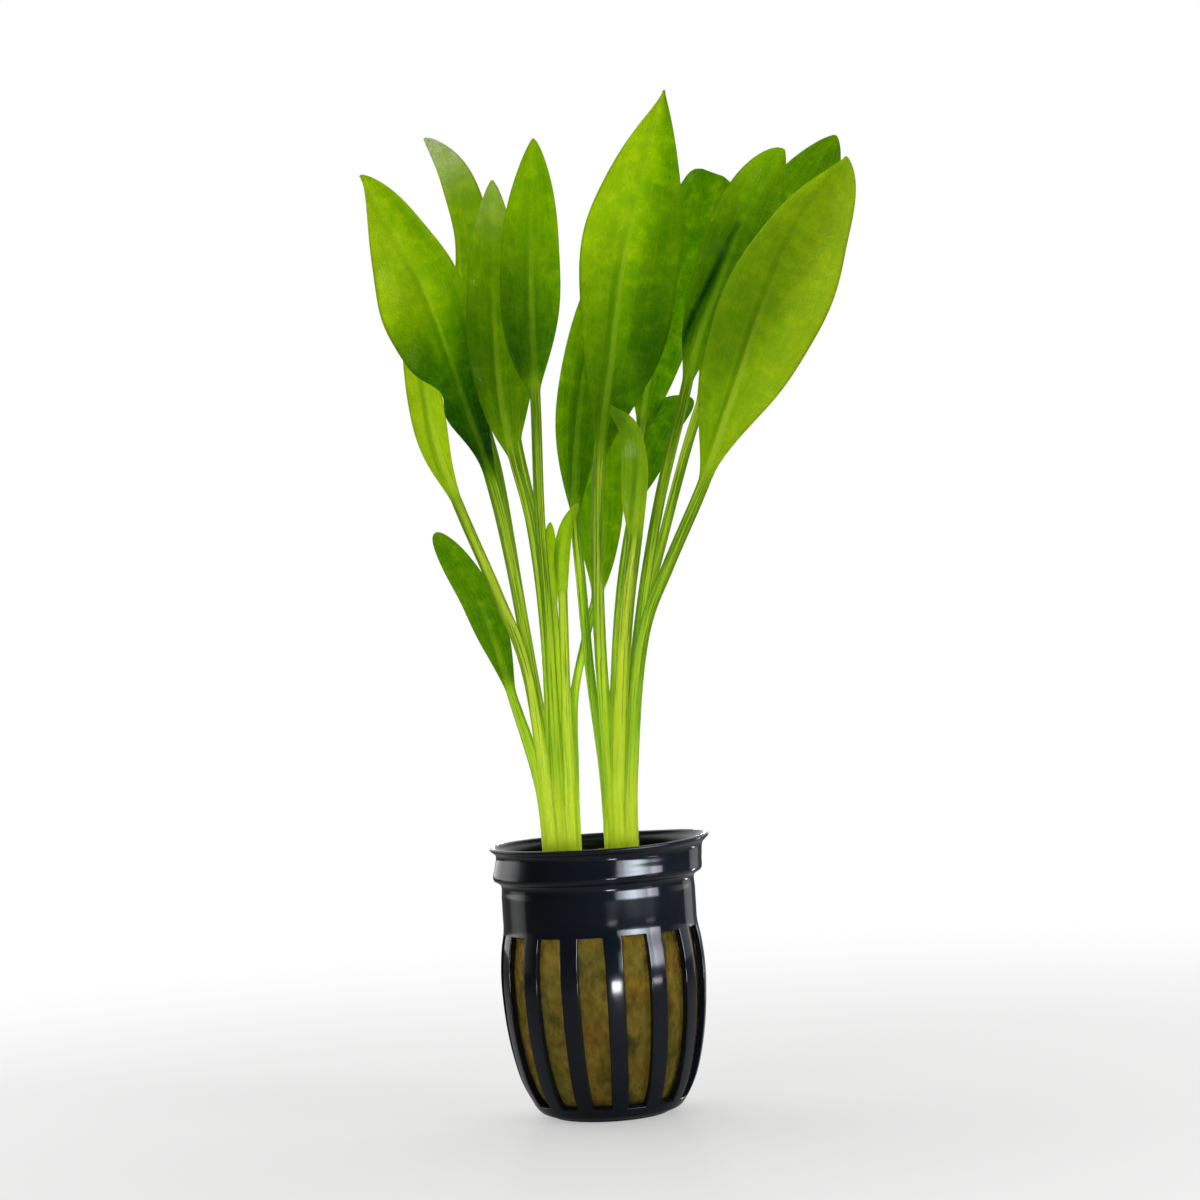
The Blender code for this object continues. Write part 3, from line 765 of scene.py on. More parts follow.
def start_group(name, inputs, outputs):
    """An empty node group: inputs of the kinds given, and outputs that are numbers."""
    tree = bpy.data.node_groups.new(name, "ShaderNodeTree")
    for key, kind in inputs.items():
        tree.interface.new_socket(key, in_out="INPUT", socket_type="NodeSocket" + kind)
    for key in outputs:
        tree.interface.new_socket(key, in_out="OUTPUT", socket_type="NodeSocketFloat")
    return Nodes(tree), tree.nodes.new("NodeGroupInput").outputs, tree.nodes.new("NodeGroupOutput")


# Where a blade's long veins run, as shares of the way from the midrib to the margin
LONG_VEINS = (0.27, 0.52, 0.76)
# Half the pitch of the cross veins, how they climb, and how far they wander, in mm
CROSS_PITCH = 1.15
CROSS_CLIMB = 0.95
CROSS_WANDER = 1.6
# Half the midrib's width at the foot and at the tip of a blade, in mm
RIB_HALF = (0.75, 0.25)


def make_vein_group():
    """Masks of a leaf's blade, its midrib, its long veins, its cross veins and a fine net.

    The long veins run at even shares of the width, and the cross veins climb towards the margin.
    """
    n, given, out = start_group(
        "leaf_veins", {"Place": "Vector", "Measure": "Vector"}, ("Blade", "Midrib", "Long", "Cross", "Net")
    )
    share, along, width = n.parts(given["Place"])
    x, length, _ = n.parts(given["Measure"])
    share, x = n.math("ABSOLUTE", share), n.math("ABSOLUTE", x)
    blade = n.ramp(along, -0.02, 0.08)
    long_veins = 0.0
    for vein in LONG_VEINS:
        gap = n.times(n.math("ABSOLUTE", n.math("SUBTRACT", share, vein)), width)
        long_veins = n.math("MAXIMUM", n.fade(gap, 0.05, 0.32), long_veins)
    wander = n.times(n.noise(given["Measure"], 0.35, 2.0), CROSS_WANDER)
    climb = n.math("ADD", n.math("SUBTRACT", length, n.times(x, CROSS_CLIMB)), wander)
    cross = n.fade(n.math("PINGPONG", climb, CROSS_PITCH), 0.03, 0.22)
    inputs = {"Vector": given["Measure"], "Scale": 1.1}
    edges = n.put("TexVoronoi", inputs, feature="DISTANCE_TO_EDGE").outputs[0]
    n.feed(out, {
        "Blade": blade,
        "Midrib": n.fade(n.math("DIVIDE", x, n.between(along, *RIB_HALF)), 0.5, 1.5),
        "Long": n.times(long_veins, blade),
        "Cross": n.times(cross, blade),
        "Net": n.times(n.fade(edges, 0.0, 0.16), blade),
    })


def make_mottle_group():
    """Soft patches and the finer specks in them, each from 0 to 1."""
    n, given, out = start_group("mottle", {"Vector": "Vector", "Scale": "Float"}, ("Patches", "Specks"))
    fine = n.times(given["Scale"], 7.0)
    n.feed(out, {
        "Patches": n.ramp(n.noise(given["Vector"], given["Scale"], 3.0), 0.3, 0.7),
        "Specks": n.ramp(n.noise(given["Vector"], fine, 4.0, 0.65), 0.3, 0.7),
    })


def start_material(name, colour):
    """A material with its Principled shader, its output and a builder for the rest."""
    material = bpy.data.materials.new(name)
    material.use_nodes = True
    material.diffuse_color = rgba(colour)
    tree = material.node_tree
    return material, Nodes(tree), tree.nodes["Principled BSDF"], tree.nodes["Material Output"]


# Shares of a face's light that pass through it
BLADE_THROUGH = 0.72
STALK_THROUGH = 0.5
# How much more than its own share a stalk lets through
STALK_LIFT = 1.7
# A painted shade line beside a midrib, its distance from it in mm
RIB_SHADE_OFFSET = 1.3


def blade_colour(n, looks, measure, share, veins, spots, yellow):
    """The green of a blade before its depth: patches, specks, paler margins and veins."""
    blotches = n.ramp(n.noise(measure, 0.28, 3.0, 0.6), 0.42, 0.68)
    return n.layers(
        n.mix(yellow, looks.blade, looks.young),
        (n.times(spots["Patches"], 0.6), looks.dark),
        (n.times(blotches, 0.9), looks.young),
        (n.times(spots["Specks"], 0.6), looks.dark),
        (n.times(n.ramp(share, 0.72, 1.0), 0.35), looks.young),
        (n.times(veins["Net"], 0.12), looks.vein),
        (n.times(veins["Cross"], 0.3), looks.vein),
        (n.times(veins["Long"], 0.5), looks.vein),
    )


def stalk_colour(n, looks, length, share, streaks, yellow):
    """The colours of a stalk: lime at its foot and greener above, with pale and dark streaks and painted
    shade at its sides.
    """
    fresh = n.ramp(length, 0.0, 60.0, 0.3, 1.0)
    return n.layers(
        n.mix(n.ramp(yellow, 0.0, 0.5, 0.2, 0.9), looks.stem, looks.stalk),
        (n.ramp(length, 40.0, 120.0), looks.neck),
        (n.fade(length, 4.0, 30.0), looks.foot),
        (n.ramp(streaks, 0.55, 0.95, 0.0, 0.7), looks.foot),
        (n.times(n.ramp(streaks, 0.42, 0.0, 0.0, 0.9), fresh), looks.groove),
        # Painted shade: the stalk is darker towards its sides, as a lit round stalk is
        (n.times(n.ramp(share, 0.35, 0.95, 0.0, 0.85), fresh), looks.groove),
    )


def leaf_material(looks):
    """Wet green tissue that lets light through.

    The blade colours say what is seen with white light behind one leaf. A deeper green is that
    colour to a higher power, as in tissue with more pigment; the depth also holds painted shade
    where leaves overlap. The leaf is a closed skin, so light passes two faces, and each face lets
    through the square root of the colour.
    """
    material, n, shader, output = start_material("leaf tissue", looks.blade)
    place, measure, tint = (n.attribute("leaf_" + name) for name in ("place", "measure", "tint"))
    veins = n.group("leaf_veins", {"Place": place, "Measure": measure})
    spots = n.group("mottle", {"Vector": measure, "Scale": 0.11})
    share, along, _ = n.parts(place)
    share = n.math("ABSOLUTE", share)
    x, length, number = n.parts(measure)
    depth, yellow, frost = n.parts(tint)
    streak_place = n.vector(n.times(x, 2.2), n.times(length, 0.035), number)
    streaks = n.ramp(n.noise(streak_place, 1.0, 3.0, 0.6), 0.36, 0.64)
    blade = blade_colour(n, looks, measure, share, veins, spots, yellow)
    stalk = stalk_colour(n, looks, length, share, streaks, yellow)
    seen = n.mix(veins["Blade"], stalk, blade)
    # Painted sheen: a whitish highlight painted on the tips of some blades
    painted_sheen_mask = n.times(n.ramp(along, 0.7, 0.98), frost, n.between(spots["Specks"], 0.5, 1.0))
    # Painted shade: a dark line beside the midrib, where its groove is shaded
    painted_rib_shade = n.ramp(n.math("ABSOLUTE", n.math("ADD", x, RIB_SHADE_OFFSET)), 0.3, 1.1, 0.45, 0.0)
    painted_rib_shade = n.times(painted_rib_shade, n.ramp(along, 0.05, 0.2), n.ramp(along, 0.4, 0.75, 1.0, 0.3))
    shallow = n.ramp(depth, 0.8, 1.8, 1.0, 0.4)
    rib = n.times(veins["Midrib"], n.ramp(along, 0.2, 0.75, 0.85, 0.1), veins["Blade"], shallow)
    per_face = n.layers(
        # The depth darkens the green as pigment does, and also paints shade where leaves overlap
        n.gamma(seen, n.times(depth, 0.5)),
        (painted_sheen_mask, one_face(looks.frost)),
        (painted_rib_shade, one_face(looks.groove)),
        (rib, one_face(looks.rib)),
    )
    share_through = n.between(veins["Blade"], STALK_THROUGH, BLADE_THROUGH)
    share_through = n.times(share_through, n.ramp(length, 0.0, 40.0, 0.75, 1.0))
    lift = n.between(veins["Blade"], STALK_LIFT, 1 / BLADE_THROUGH)
    through = n.mix(1.0, per_face, n.vector(lift, lift, lift), "MULTIPLY")
    returned = n.mix(veins["Blade"], seen, n.gamma(rgba(looks.surface), depth))
    raised = n.times(streaks, n.math("SUBTRACT", 1.0, veins["Blade"]))
    reliefs = ((veins["Long"], 0.5), (veins["Cross"], 0.28), (veins["Net"], 0.18), (spots["Specks"], 0.5))
    for mask, height in reliefs:
        raised = n.math("ADD", raised, n.times(mask, height))
    bump = n.bump(raised, 0.7, 0.0003)
    wetness = n.noise(measure, 0.12, 2.0)
    # The base colour carries the painted sheen of the tips
    n.feed(shader, {
        "Base Color": n.mix(painted_sheen_mask, returned, looks.frost),
        "Roughness": n.ramp(wetness, 0.35, 0.65, looks.wet_roughness, looks.dry_roughness),
        "Specular IOR Level": 0.15,
        "Coat Weight": 0.1,
        "Coat Roughness": 0.08,
        "Normal": bump,
    })
    glow = n.put("BsdfTranslucent", {"Color": through, "Normal": bump}).outputs[0]
    n.feed(output, {"Surface": n.shaders(share_through, shader.outputs[0], glow)})
    return material


def make_leaves(clump, looks):
    """All leaves of one clump."""
    for number, (name, leaf) in enumerate(LEAVES.items()):
        if leaf.clump is clump:
            material = bpy.data.materials.get("leaf tissue") or leaf_material(looks)
            make_leaf(name, leaf, number, material)


def wall_depth(heights):
    """How deep the pot's wall is at some heights: thin at the band and deeper in the ribs."""
    return blend(WALL, RIB_DEPTH, ease((DEEPER_FROM - heights) / DEEPER_OVER))


def profile_rows():
    """Rows of the pot's wall from the lip down: outer radius and height.

    The corners are rounded by a smooth curve through them, and rows lie exactly at the slots' ends.
    """
    corners = [(LIP_RADIUS, POT_HEIGHT - EDGE), *OUTSIDE, (BASE_RADIUS, EDGE)]
    curve = smooth_path([(r, 0.0, z) for r, z in corners])
    above, along, below = WALL_ROWS
    heights = np.concatenate([
        np.linspace(POT_HEIGHT - EDGE, SLOT_TOP, above, endpoint=False),
        np.linspace(SLOT_TOP, SLOT_BOTTOM, along, endpoint=False),
        np.linspace(SLOT_BOTTOM, EDGE, below),
    ])
    return np.interp(-heights, -curve[:, 2], curve[:, 0]), heights


def sector_angles(radii, heights):
    """Angle of each corner round the pot, row by row: ribs and slots in turn.

    The angle of a slot's edge is the arc sine of half the slot's width over the radius.
    """
    sector = 2 * math.pi / SLOT_COUNT
    first = math.radians(FIRST_RIB_DEG - 90)
    at, widths = np.array(SLOT_WIDTHS[::-1]).T
    half_slot = np.arcsin(np.interp(heights, at, widths) / 2 / radii)[:, None]
    rib_share = np.linspace(-1, 1, RIB_CELLS, endpoint=False)[None, :]
    slot_share = np.linspace(-1, 1, SLOT_CELLS, endpoint=False)[None, :]
    rib = rib_share * (sector / 2 - half_slot)
    slot = sector / 2 + slot_share * half_slot
    one = np.concatenate([rib, slot], axis=1)
    starts = first + sector * np.arange(SLOT_COUNT)
    return (one[:, None, :] + starts[None, :, None]).reshape(len(radii), -1)


def pot_skins():
    """The pot's heights and its outer and inner skin, as rows of corners from the lip down.

    Near the top the rows shift to the right, and the lip's right side rises with the cube of the
    cosine of the angle.
    """
    radii, heights = profile_rows()
    angles = sector_angles(radii, heights)
    shift = LIP_SHIFT * ease((heights - (POT_HEIGHT - LIP_SOFT)) / LIP_SOFT)[:, None]
    crest = LIP_FLICK * ease((heights - (POT_HEIGHT - FLICK_SOFT)) / FLICK_SOFT)[:, None]
    up = crest * np.clip(np.cos(angles), 0, 1) ** 3
    inner_heights = np.maximum(heights, FLOOR + (heights - EDGE) * INSIDE_RISE)
    skins = []
    for r, z in ((radii, heights), (radii - wall_depth(heights), inner_heights)):
        skin = turned(r[:, None], z[:, None] + up, angles)
        skin[..., 0] += shift
        skins.append(skin)
    return heights, *skins


def pot_mesh():
    """Corners and faces of the pot's wall: an outer and an inner skin on one grid.

    They are joined at the lip and round each slot, where the grid's cells are left out, and a
    floor closes each of them.
    """
    heights, outer, inner = pot_skins()
    rows, columns = outer.shape[:2]
    count = rows * columns
    index = np.arange(count).reshape(rows, columns)
    j = np.arange(columns)
    k = (j + 1) % columns
    in_sector = j % (RIB_CELLS + SLOT_CELLS)
    near = 1e-6
    at_slots = (heights[:-1] <= SLOT_TOP + near) & (heights[1:] >= SLOT_BOTTOM - near)
    kept = ~(at_slots[:, None] & (in_sector >= RIB_CELLS))
    quads = np.stack([index[:-1], index[1:], index[1:, k], index[:-1, k]], axis=-1)[kept]
    faces = [*quads.tolist(), *(quads[:, ::-1] + count).tolist()]
    first, last = np.flatnonzero(at_slots)[[0, -1]]
    upper, lower = index[first : last + 1], index[first + 1 : last + 2]
    starts = np.flatnonzero(in_sector == RIB_CELLS)
    ends = (starts + SLOT_CELLS) % columns
    faces += cells(upper[:, starts], lower[:, starts], lower[:, starts] + count, upper[:, starts] + count)
    faces += cells(upper[:, ends], upper[:, ends] + count, lower[:, ends] + count, lower[:, ends])
    slot = np.flatnonzero(in_sector >= RIB_CELLS)
    after = (slot + 1) % columns
    top, bottom = upper[0], lower[-1]
    faces += cells(top[slot], top[slot] + count, top[after] + count, top[after])
    faces += cells(bottom[slot], bottom[after], bottom[after] + count, bottom[slot] + count)
    lip, rim, centre = 2 * count, 2 * count + columns, 2 * count + 2 * columns
    foot = index[-1]
    faces += cells(lip + j, j, k, lip + k)
    faces += cells(lip + k, count + k, count + j, lip + j)
    faces += cells(foot[j], rim + j, rim + k, foot[k])
    faces += cells(rim + j, centre, rim + k)
    faces += cells(count + foot[k], centre + 1, count + foot[j])
    lip_row = (outer[0] + inner[0]) / 2 + (0.0, 0.0, EDGE)
    narrowed = (BASE_RADIUS - BASE_CHAMFER) / BASE_RADIUS
    rim_row = outer[-1] * (narrowed, narrowed, 0.0)
    centres = [[0.0, 0.0, 0.0], [0.0, 0.0, inner[-1, 0, 2]]]
    return np.vstack([outer.reshape(-1, 3), inner.reshape(-1, 3), lip_row, rim_row, centres]), faces


def pot_material(looks):
    """Glossy moulded black plastic with faint flow marks and dust in patches."""
    material, n, shader, _ = start_material("pot plastic", looks.plastic)
    place = n.place()
    spots = n.group("mottle", {"Vector": place, "Scale": 60.0})
    dusty = n.times(spots["Patches"], spots["Specks"], 0.35)
    marks = n.noise(n.stretched(place, 260.0, 40.0), 1.0, 2.0)
    n.feed(shader, {
        "Base Color": n.mix(dusty, looks.plastic, looks.dust),
        "Roughness": n.between(spots["Patches"], looks.gloss, looks.gloss + 0.05),
        "Specular IOR Level": 0.3,
        "Normal": n.bump(marks, 0.12, 0.0004),
    })
    return material


def make_pot(looks):
    """The pot with its slot edges rounded."""
    pot = new_piece(
        "pot_wall", *pot_mesh(), pot_material(looks), "black_plastic", "net_pot", SMOOTH_BELOW_DEG
    )
    bevel = pot.modifiers.new("rounded edges", "BEVEL")
    bevel.width = EDGE_BEVEL * MM
    bevel.segments = 2
    bevel.limit_method = "ANGLE"
    bevel.angle_limit = math.radians(ROUNDED_ABOVE_DEG)
    bevel.harden_normals = True


def plug_radius(height):
    """The plug's radius at a height: the pot's inside less a small gap."""
    corners = np.array([corner for corner in OUTSIDE if corner[1] < COLLAR_BOTTOM])
    return np.interp(-height, -corners[:, 1], corners[:, 0]) - wall_depth(height) - PLUG_GAP


# The plug's radius in the pot's neck, below the collar
NECK_RADIUS = float(plug_radius(np.array(NECK_HEIGHT)))

# The plug's grid: corners round it, rows on its top, its shoulder and its side, from where to
# where the side has rows, and the radii of the rows under it
PLUG_AROUND = 260
PLUG_ROWS = (16, 4, 100)
PLUG_SIDE = (PLUG_TOP - 1.6, 5.0)
PLUG_UNDER = (13.6, 9.0, 4.0, 1.0)
# Noises that stir its side and its top: height, cell, seed and layers
SIDE_NOISES = ((0.22, 4.0, 7, 3), (0.16, 1.2, 17, 2))
TOP_NOISES = ((0.45, 3.2, 27, 3), (0.15, 0.9, 37, 2))
# The side's noise is stretched upright and kept off the pot, and the top's is sunk a little
SIDE_STRETCH = 0.35
SIDE_LIMIT = 0.25
TOP_SUNK = 0.1
SIDE_SOFT = 2.0
FOOT_SOFT = 3.0
TOP_EDGE = 1.5


def angles_round(count):
    """Evenly spaced angles round an axis, as one row."""
    return np.linspace(0, 2 * math.pi, count, endpoint=False)[None, :]


def wool_surface():
    """The plug's skin as rows round its axis: out over the top, down the side and in under it.

    The radius follows the pot's inside and is stirred by noise that is stretched upright, and the
    top is stirred by rounder noise.
    """
    around = angles_round(PLUG_AROUND)
    inner = NECK_RADIUS - PLUG_SHOULDER
    on_top, on_shoulder, on_side = PLUG_ROWS
    top = [(t * inner, PLUG_TOP) for t in np.linspace(0.06, 1, on_top)]
    shoulder = [
        (inner + PLUG_SHOULDER * math.sin(t), PLUG_TOP - PLUG_SHOULDER * (1 - math.cos(t)))
        for t in np.linspace(0.3, math.pi / 2, on_shoulder)
    ]
    side = [(float(plug_radius(z)), float(z)) for z in np.linspace(*PLUG_SIDE, on_side)]
    under = [(r, FLOOR + PLUG_GAP) for r in PLUG_UNDER]
    rows = np.array(top + shoulder + side + under)
    r, z = rows[:, :1], rows[:, 1:]
    stirred = np.minimum(stir(turned(r, z * SIDE_STRETCH, around), SIDE_NOISES), SIDE_LIMIT)
    tufted = stir(turned(r, 0 * z, around), TOP_NOISES) - TOP_SUNK
    aside = ease((PLUG_TOP - z) / SIDE_SOFT) * ease((z - FOOT_SOFT) / FOOT_SOFT)
    above = (z > PLUG_TOP - TOP_EDGE) * (1 - aside)
    return turned(r + aside * stirred, z + above * tufted, around)


def wool_material(looks):
    """Damp mineral wool: brown and olive mottling with darker patches and fine upright fibres."""
    material, n, shader, _ = start_material("mineral wool", looks.wool)
    place = n.place()
    spots = n.group("mottle", {"Vector": place, "Scale": 110.0})
    fibres = n.ramp(n.noise(n.stretched(place, 1400.0, 240.0), 1.0, 4.0, 0.7), 0.35, 0.7)
    tufts = n.ramp(n.noise(n.stretched(place, 520.0, 300.0), 1.0, 3.0, 0.6), 0.35, 0.65)
    blots = n.ramp(n.noise(place, 170.0, 3.0, 0.5), 0.42, 0.72)
    colour = n.layers(
        n.mix(spots["Patches"], looks.wool, looks.olive),
        (n.times(fibres, 0.45), looks.straw),
        (n.times(tufts, 0.4), looks.soil),
        (n.times(blots, 0.6), looks.soil),
    )
    raised = n.math("ADD", n.times(fibres, 0.7), spots["Specks"])
    n.feed(shader, {
        "Base Color": colour,
        "Roughness": n.between(blots, 0.9, 0.6),
        "Specular IOR Level": 0.15,
        "Normal": n.bump(raised, 0.7, 0.0005),
    })
    return material


# Loose fibres: their rings and sides, the share of them that lies on top, where on the side and on
# the top they lie and how far off the wool, their half thickness and how much of it their ends
# lose, and their lengths, lean, bend and hump
FIBRE_SEED = 5
FIBRE_STATIONS = 5
FIBRE_SIDES = 3
FIBRES_ON_TOP = 0.3
FIBRE_HEIGHTS = (6.0, PLUG_TOP - 2.0)
FIBRE_SPREAD = (0.02, 0.95)
FIBRE_INSET = 1.5
OFF_TOP = 0.05
OFF_SIDE = 0.08
FIBRE_HALF = 0.045
FIBRE_TAPER = 0.8
FIBRE_LENGTHS = (1.5, 4.5)
FIBRE_LEAN = 0.5
FIBRE_BEND = 0.25
FIBRE_HUMPS = (0.02, 0.22)


def fibre_mesh(count):
    """Short bent wool fibres that lie on the plug's side and top, joined in one mesh.

    A fibre is a three-sided tube along a parabola that starts on the plug, runs along it and
    rises from it a little in the middle.
    """
    rng = np.random.default_rng(FIBRE_SEED)
    on_top = rng.uniform(size=count) < FIBRES_ON_TOP
    angle = rng.uniform(0, 2 * math.pi, count)
    height = np.where(on_top, PLUG_TOP + OFF_TOP, rng.uniform(*FIBRE_HEIGHTS, count))
    spread = np.sqrt(rng.uniform(*FIBRE_SPREAD, count)) * (NECK_RADIUS - FIBRE_INSET)
    radius = np.where(on_top, spread, plug_radius(height) + OFF_SIDE)
    out = np.stack([np.cos(angle), np.sin(angle), 0 * angle], axis=1)
    round_way = np.stack([-np.sin(angle), np.cos(angle), 0 * angle], axis=1)
    up = np.tile([0.0, 0.0, 1.0], (count, 1))
    lift = np.where(on_top[:, None], up, out)
    lean = rng.normal(0, FIBRE_LEAN, count)
    upright = np.cos(lean)[:, None] * up + np.sin(lean)[:, None] * round_way
    heading = rng.uniform(0, 2 * math.pi, count)[:, None]
    lying = np.cos(heading) * out + np.sin(heading) * round_way
    run = np.where(on_top[:, None], lying, upright)
    across = np.cross(lift, run)
    length = rng.uniform(*FIBRE_LENGTHS, count)[:, None, None]
    bend = rng.normal(0, FIBRE_BEND, count)[:, None, None]
    hump = rng.uniform(*FIBRE_HUMPS, count)[:, None, None]
    t = np.linspace(-0.5, 0.5, FIBRE_STATIONS)[None, :, None]
    start = (out * radius[:, None] + up * height[:, None])[:, None, :]
    line = start + run[:, None] * length * t + across[:, None] * bend * length * (t**2)
    line = line + lift[:, None] * hump * (1 - 4 * t**2)
    thick = FIBRE_HALF * (1 - (2 * t) ** 4 * FIBRE_TAPER)
    turn = 2 * math.pi * np.arange(FIBRE_SIDES) / FIBRE_SIDES
    turn = turn[None, None, :, None]
    ring = across[:, None, None] * np.cos(turn) + lift[:, None, None] * np.sin(turn)
    points = line[:, :, None, :] + ring * thick[..., None]
    one = FIBRE_STATIONS * FIBRE_SIDES
    starts = (np.arange(count) * one)[:, None, None]
    quads = starts + np.array(grid_faces(FIBRE_STATIONS, FIBRE_SIDES))
    caps = starts + np.array([[2, 1, 0], [one - 3, one - 2, one - 1]])
    return points.reshape(-1, 3), [*quads.reshape(-1, 4).tolist(), *caps.reshape(-1, 3).tolist()]


def make_plug(looks):
    """The mineral wool plug and the loose fibres on it."""
    rows = wool_surface()
    material = wool_material(looks)
    new_piece("wool_plug", *closed_rows(rows, middles(rows)), material, "mineral_wool", "growing_plug")
    new_piece("wool_fibres", *fibre_mesh(looks.fibre_count), material, "mineral_wool")


def crown_material(looks):
    """Fibrous rootstock, cream at the stalks' feet and brown below."""
    material, n, shader, _ = start_material("rootstock skin", looks.rootstock)
    place = n.place()
    spots = n.group("mottle", {"Vector": place, "Scale": 300.0})
    fresh = n.ramp(n.parts(place)[2], (PLUG_TOP - 0.6) * MM, (PLUG_TOP + 0.4) * MM)
    brown = n.mix(spots["Patches"], looks.rootstock, looks.soil)
    n.feed(shader, {
        "Base Color": n.mix(n.times(fresh, 0.6), brown, looks.shoot),
        "Roughness": 0.7,
        "Normal": n.bump(spots["Specks"], 0.6, 0.0004),
    })
    return material


# A crown's grid, the powers of its rounded section, how much wider it is than its solid, and the
# share and the height of its lumps
CROWN_AROUND = 72
CROWN_ROWS = 28
SIDE_POWER = 0.55
HEIGHT_POWER = 0.6
CROWN_PROUD = 1.02
LUMP_SHARE = 0.06
LUMP_HEIGHT = 0.25


def make_crown(name, clump, node, material):
    """A low rounded rootstock, as rows round its axis: a superellipse in height, lumpy with noise."""
    around = angles_round(CROWN_AROUND)
    t = np.linspace(0.02, 0.98, CROWN_ROWS)[:, None] * math.pi
    r = clump.radius * CROWN_PROUD * np.sin(t) ** SIDE_POWER
    sunk = 0.5 - 0.5 * np.sign(np.cos(t)) * np.abs(np.cos(t)) ** HEIGHT_POWER
    z = PLUG_TOP + CROWN_RISE - CROWN_HEIGHT * sunk
    smooth = turned(r, z, around)
    lump = 1 + LUMP_SHARE * layered_noise(smooth, 2.2, clump.seed)
    raised = LUMP_HEIGHT * layered_noise(smooth, 1.6, clump.seed + 5)
    rows = turned(r * lump, z + raised, around) + (clump.x, clump.y, 0.0)
    new_piece(name, *closed_rows(rows, middles(rows)), material, "rootstock", node)


WHITE = (1.0, 1.0, 1.0)
# Large lamps: place, target, size, the look that gives the radiance, the spread, and whether only
# the leaves and the wool are lit
LAMPS = (
    ("backlight", (0, 1000, 130), (5, 0, 140), (110, 110), "sun", 60, False),
    ("key_softbox", (620, -400, 320), (0, 0, 110), (200, 200), "key", 120, False),
    ("fill_softbox", (-450, -520, 850), (0, 0, 130), (420, 420), "fill", 120, False),
    ("stalk_light", (-40, -320, 70), (0, 0, 92), (60, 60), "stalks", 40, True),
)
# Low lamps that draw the highlights on the pot: place, size, radiance and colour
POT_GLINTS = (
    ("collar_glint", (174, -193, 78), (230, 76), 36, (0.82, 0.91, 1.0)),
    ("rib_glint", (235, -110, 77), (60, 76), 18, (0.88, 0.84, 1.0)),
    ("low_rib_glint", (225, -130, 9), (50, 10), 24, (0.88, 0.84, 1.0)),
    ("front_glint", (48, -194, 12), (30, 18), 75, WHITE),
    ("edge_glint", (125, 100, 12), (14, 24), 30, WHITE),
    ("left_side_glint", (-230, 90, 62), (150, 110), 1.3, WHITE),
    ("right_side_glint", (190, 160, 62), (110, 110), 1.3, WHITE),
)
GLINT_SPREAD = 50
# The floor lies a little below the pot's base, and its rows get wider outwards
FLOOR_LEVEL = -0.02
FLOOR_AROUND = 96
FLOOR_ROWS = 40
FLOOR_POWER = 1.6
# How near and how far the camera sees, in metres
CLIP = (0.01, 50.0)


def make_floor(looks):
    """A wide round floor, pale and matt near the plant and glowing like the backdrop further out."""
    r = (np.linspace(0.002, 1, FLOOR_ROWS) ** FLOOR_POWER * looks.floor_radius)[:, None]
    rows = turned(r, FLOOR_LEVEL, angles_round(FLOOR_AROUND))
    material, n, shader, output = start_material("pale floor", looks.floor)
    x, y, _ = n.parts(n.place())
    away = n.math("SQRT", n.math("ADD", n.times(x, x), n.times(y, y)))
    n.feed(shader, {"Base Color": rgba(looks.floor), "Roughness": 0.85})
    light = {"Color": rgba(WHITE), "Strength": n.off_camera(looks.floor_glow)}
    glow = n.put("Emission", light).outputs[0]
    far = n.ramp(away, 0.03, 0.4, 0.45, 1.0)
    n.feed(output, {"Surface": n.shaders(far, shader.outputs[0], glow)})
    new_piece("floor", *closed_rows(rows, ([0.0, 0.0, FLOOR_LEVEL],)), material)


def make_world(looks):
    """Light all round: bright from behind, dim from the front, and plain white to the camera."""
    world = bpy.data.worlds.new("studio")
    bpy.context.scene.world = world
    world.use_nodes = True
    n = Nodes(world.node_tree)
    x, y, z = n.parts(n.put("TexCoord", {}).outputs["Generated"])
    behind = n.ramp(y, -0.15, 0.55, looks.front_light, looks.back_light)
    behind = n.times(behind, n.ramp(x, -1.0, 1.0, looks.left_light, 2 - looks.left_light))
    light = n.math("ADD", behind, n.ramp(z, 0.3, 0.9, 0.0, looks.top_light))
    n.feed(world.node_tree.nodes["Background"], {"Strength": n.off_camera(light), "Color": rgba(WHITE)})


def add_softbox(name, place, target, size, radiance, colour, spread, receivers):
    """A rectangular area light that looks at a point and isn't seen by the camera.

    Its power is its radiance straight ahead times its area times pi, less what its spread cuts
    off, which is half the spread over the tangent of that. Where it has receivers, it lights only
    those.
    """
    light = bpy.data.lights.new(name, "AREA")
    light.shape = "RECTANGLE"
    light.size, light.size_y = (length * MM for length in size)
    light.color = colour
    light.spread = math.radians(spread)
    half = light.spread / 2
    light.energy = radiance * light.size * light.size_y * math.pi * (1 - half / math.tan(half))
    lamp = add_object(name, light)
    aim = np.array(place, float) - np.array(target, float)
    heading = math.atan2(aim[0], -aim[1])
    lift = math.atan2(aim[2], math.hypot(aim[0], aim[1]))
    lamp.location = [c * MM for c in place]
    lamp.rotation_euler = (math.pi / 2 - lift, 0.0, heading)
    lamp.visible_camera = False
    if receivers is not None:
        lamp.light_linking.receiver_collection = receivers


def lit_group(name, pieces):
    """A collection of pieces, for lamps that light nothing else."""
    group = bpy.data.collections.new(name)
    for piece in pieces:
        group.objects.link(bpy.data.objects[piece])
    return group


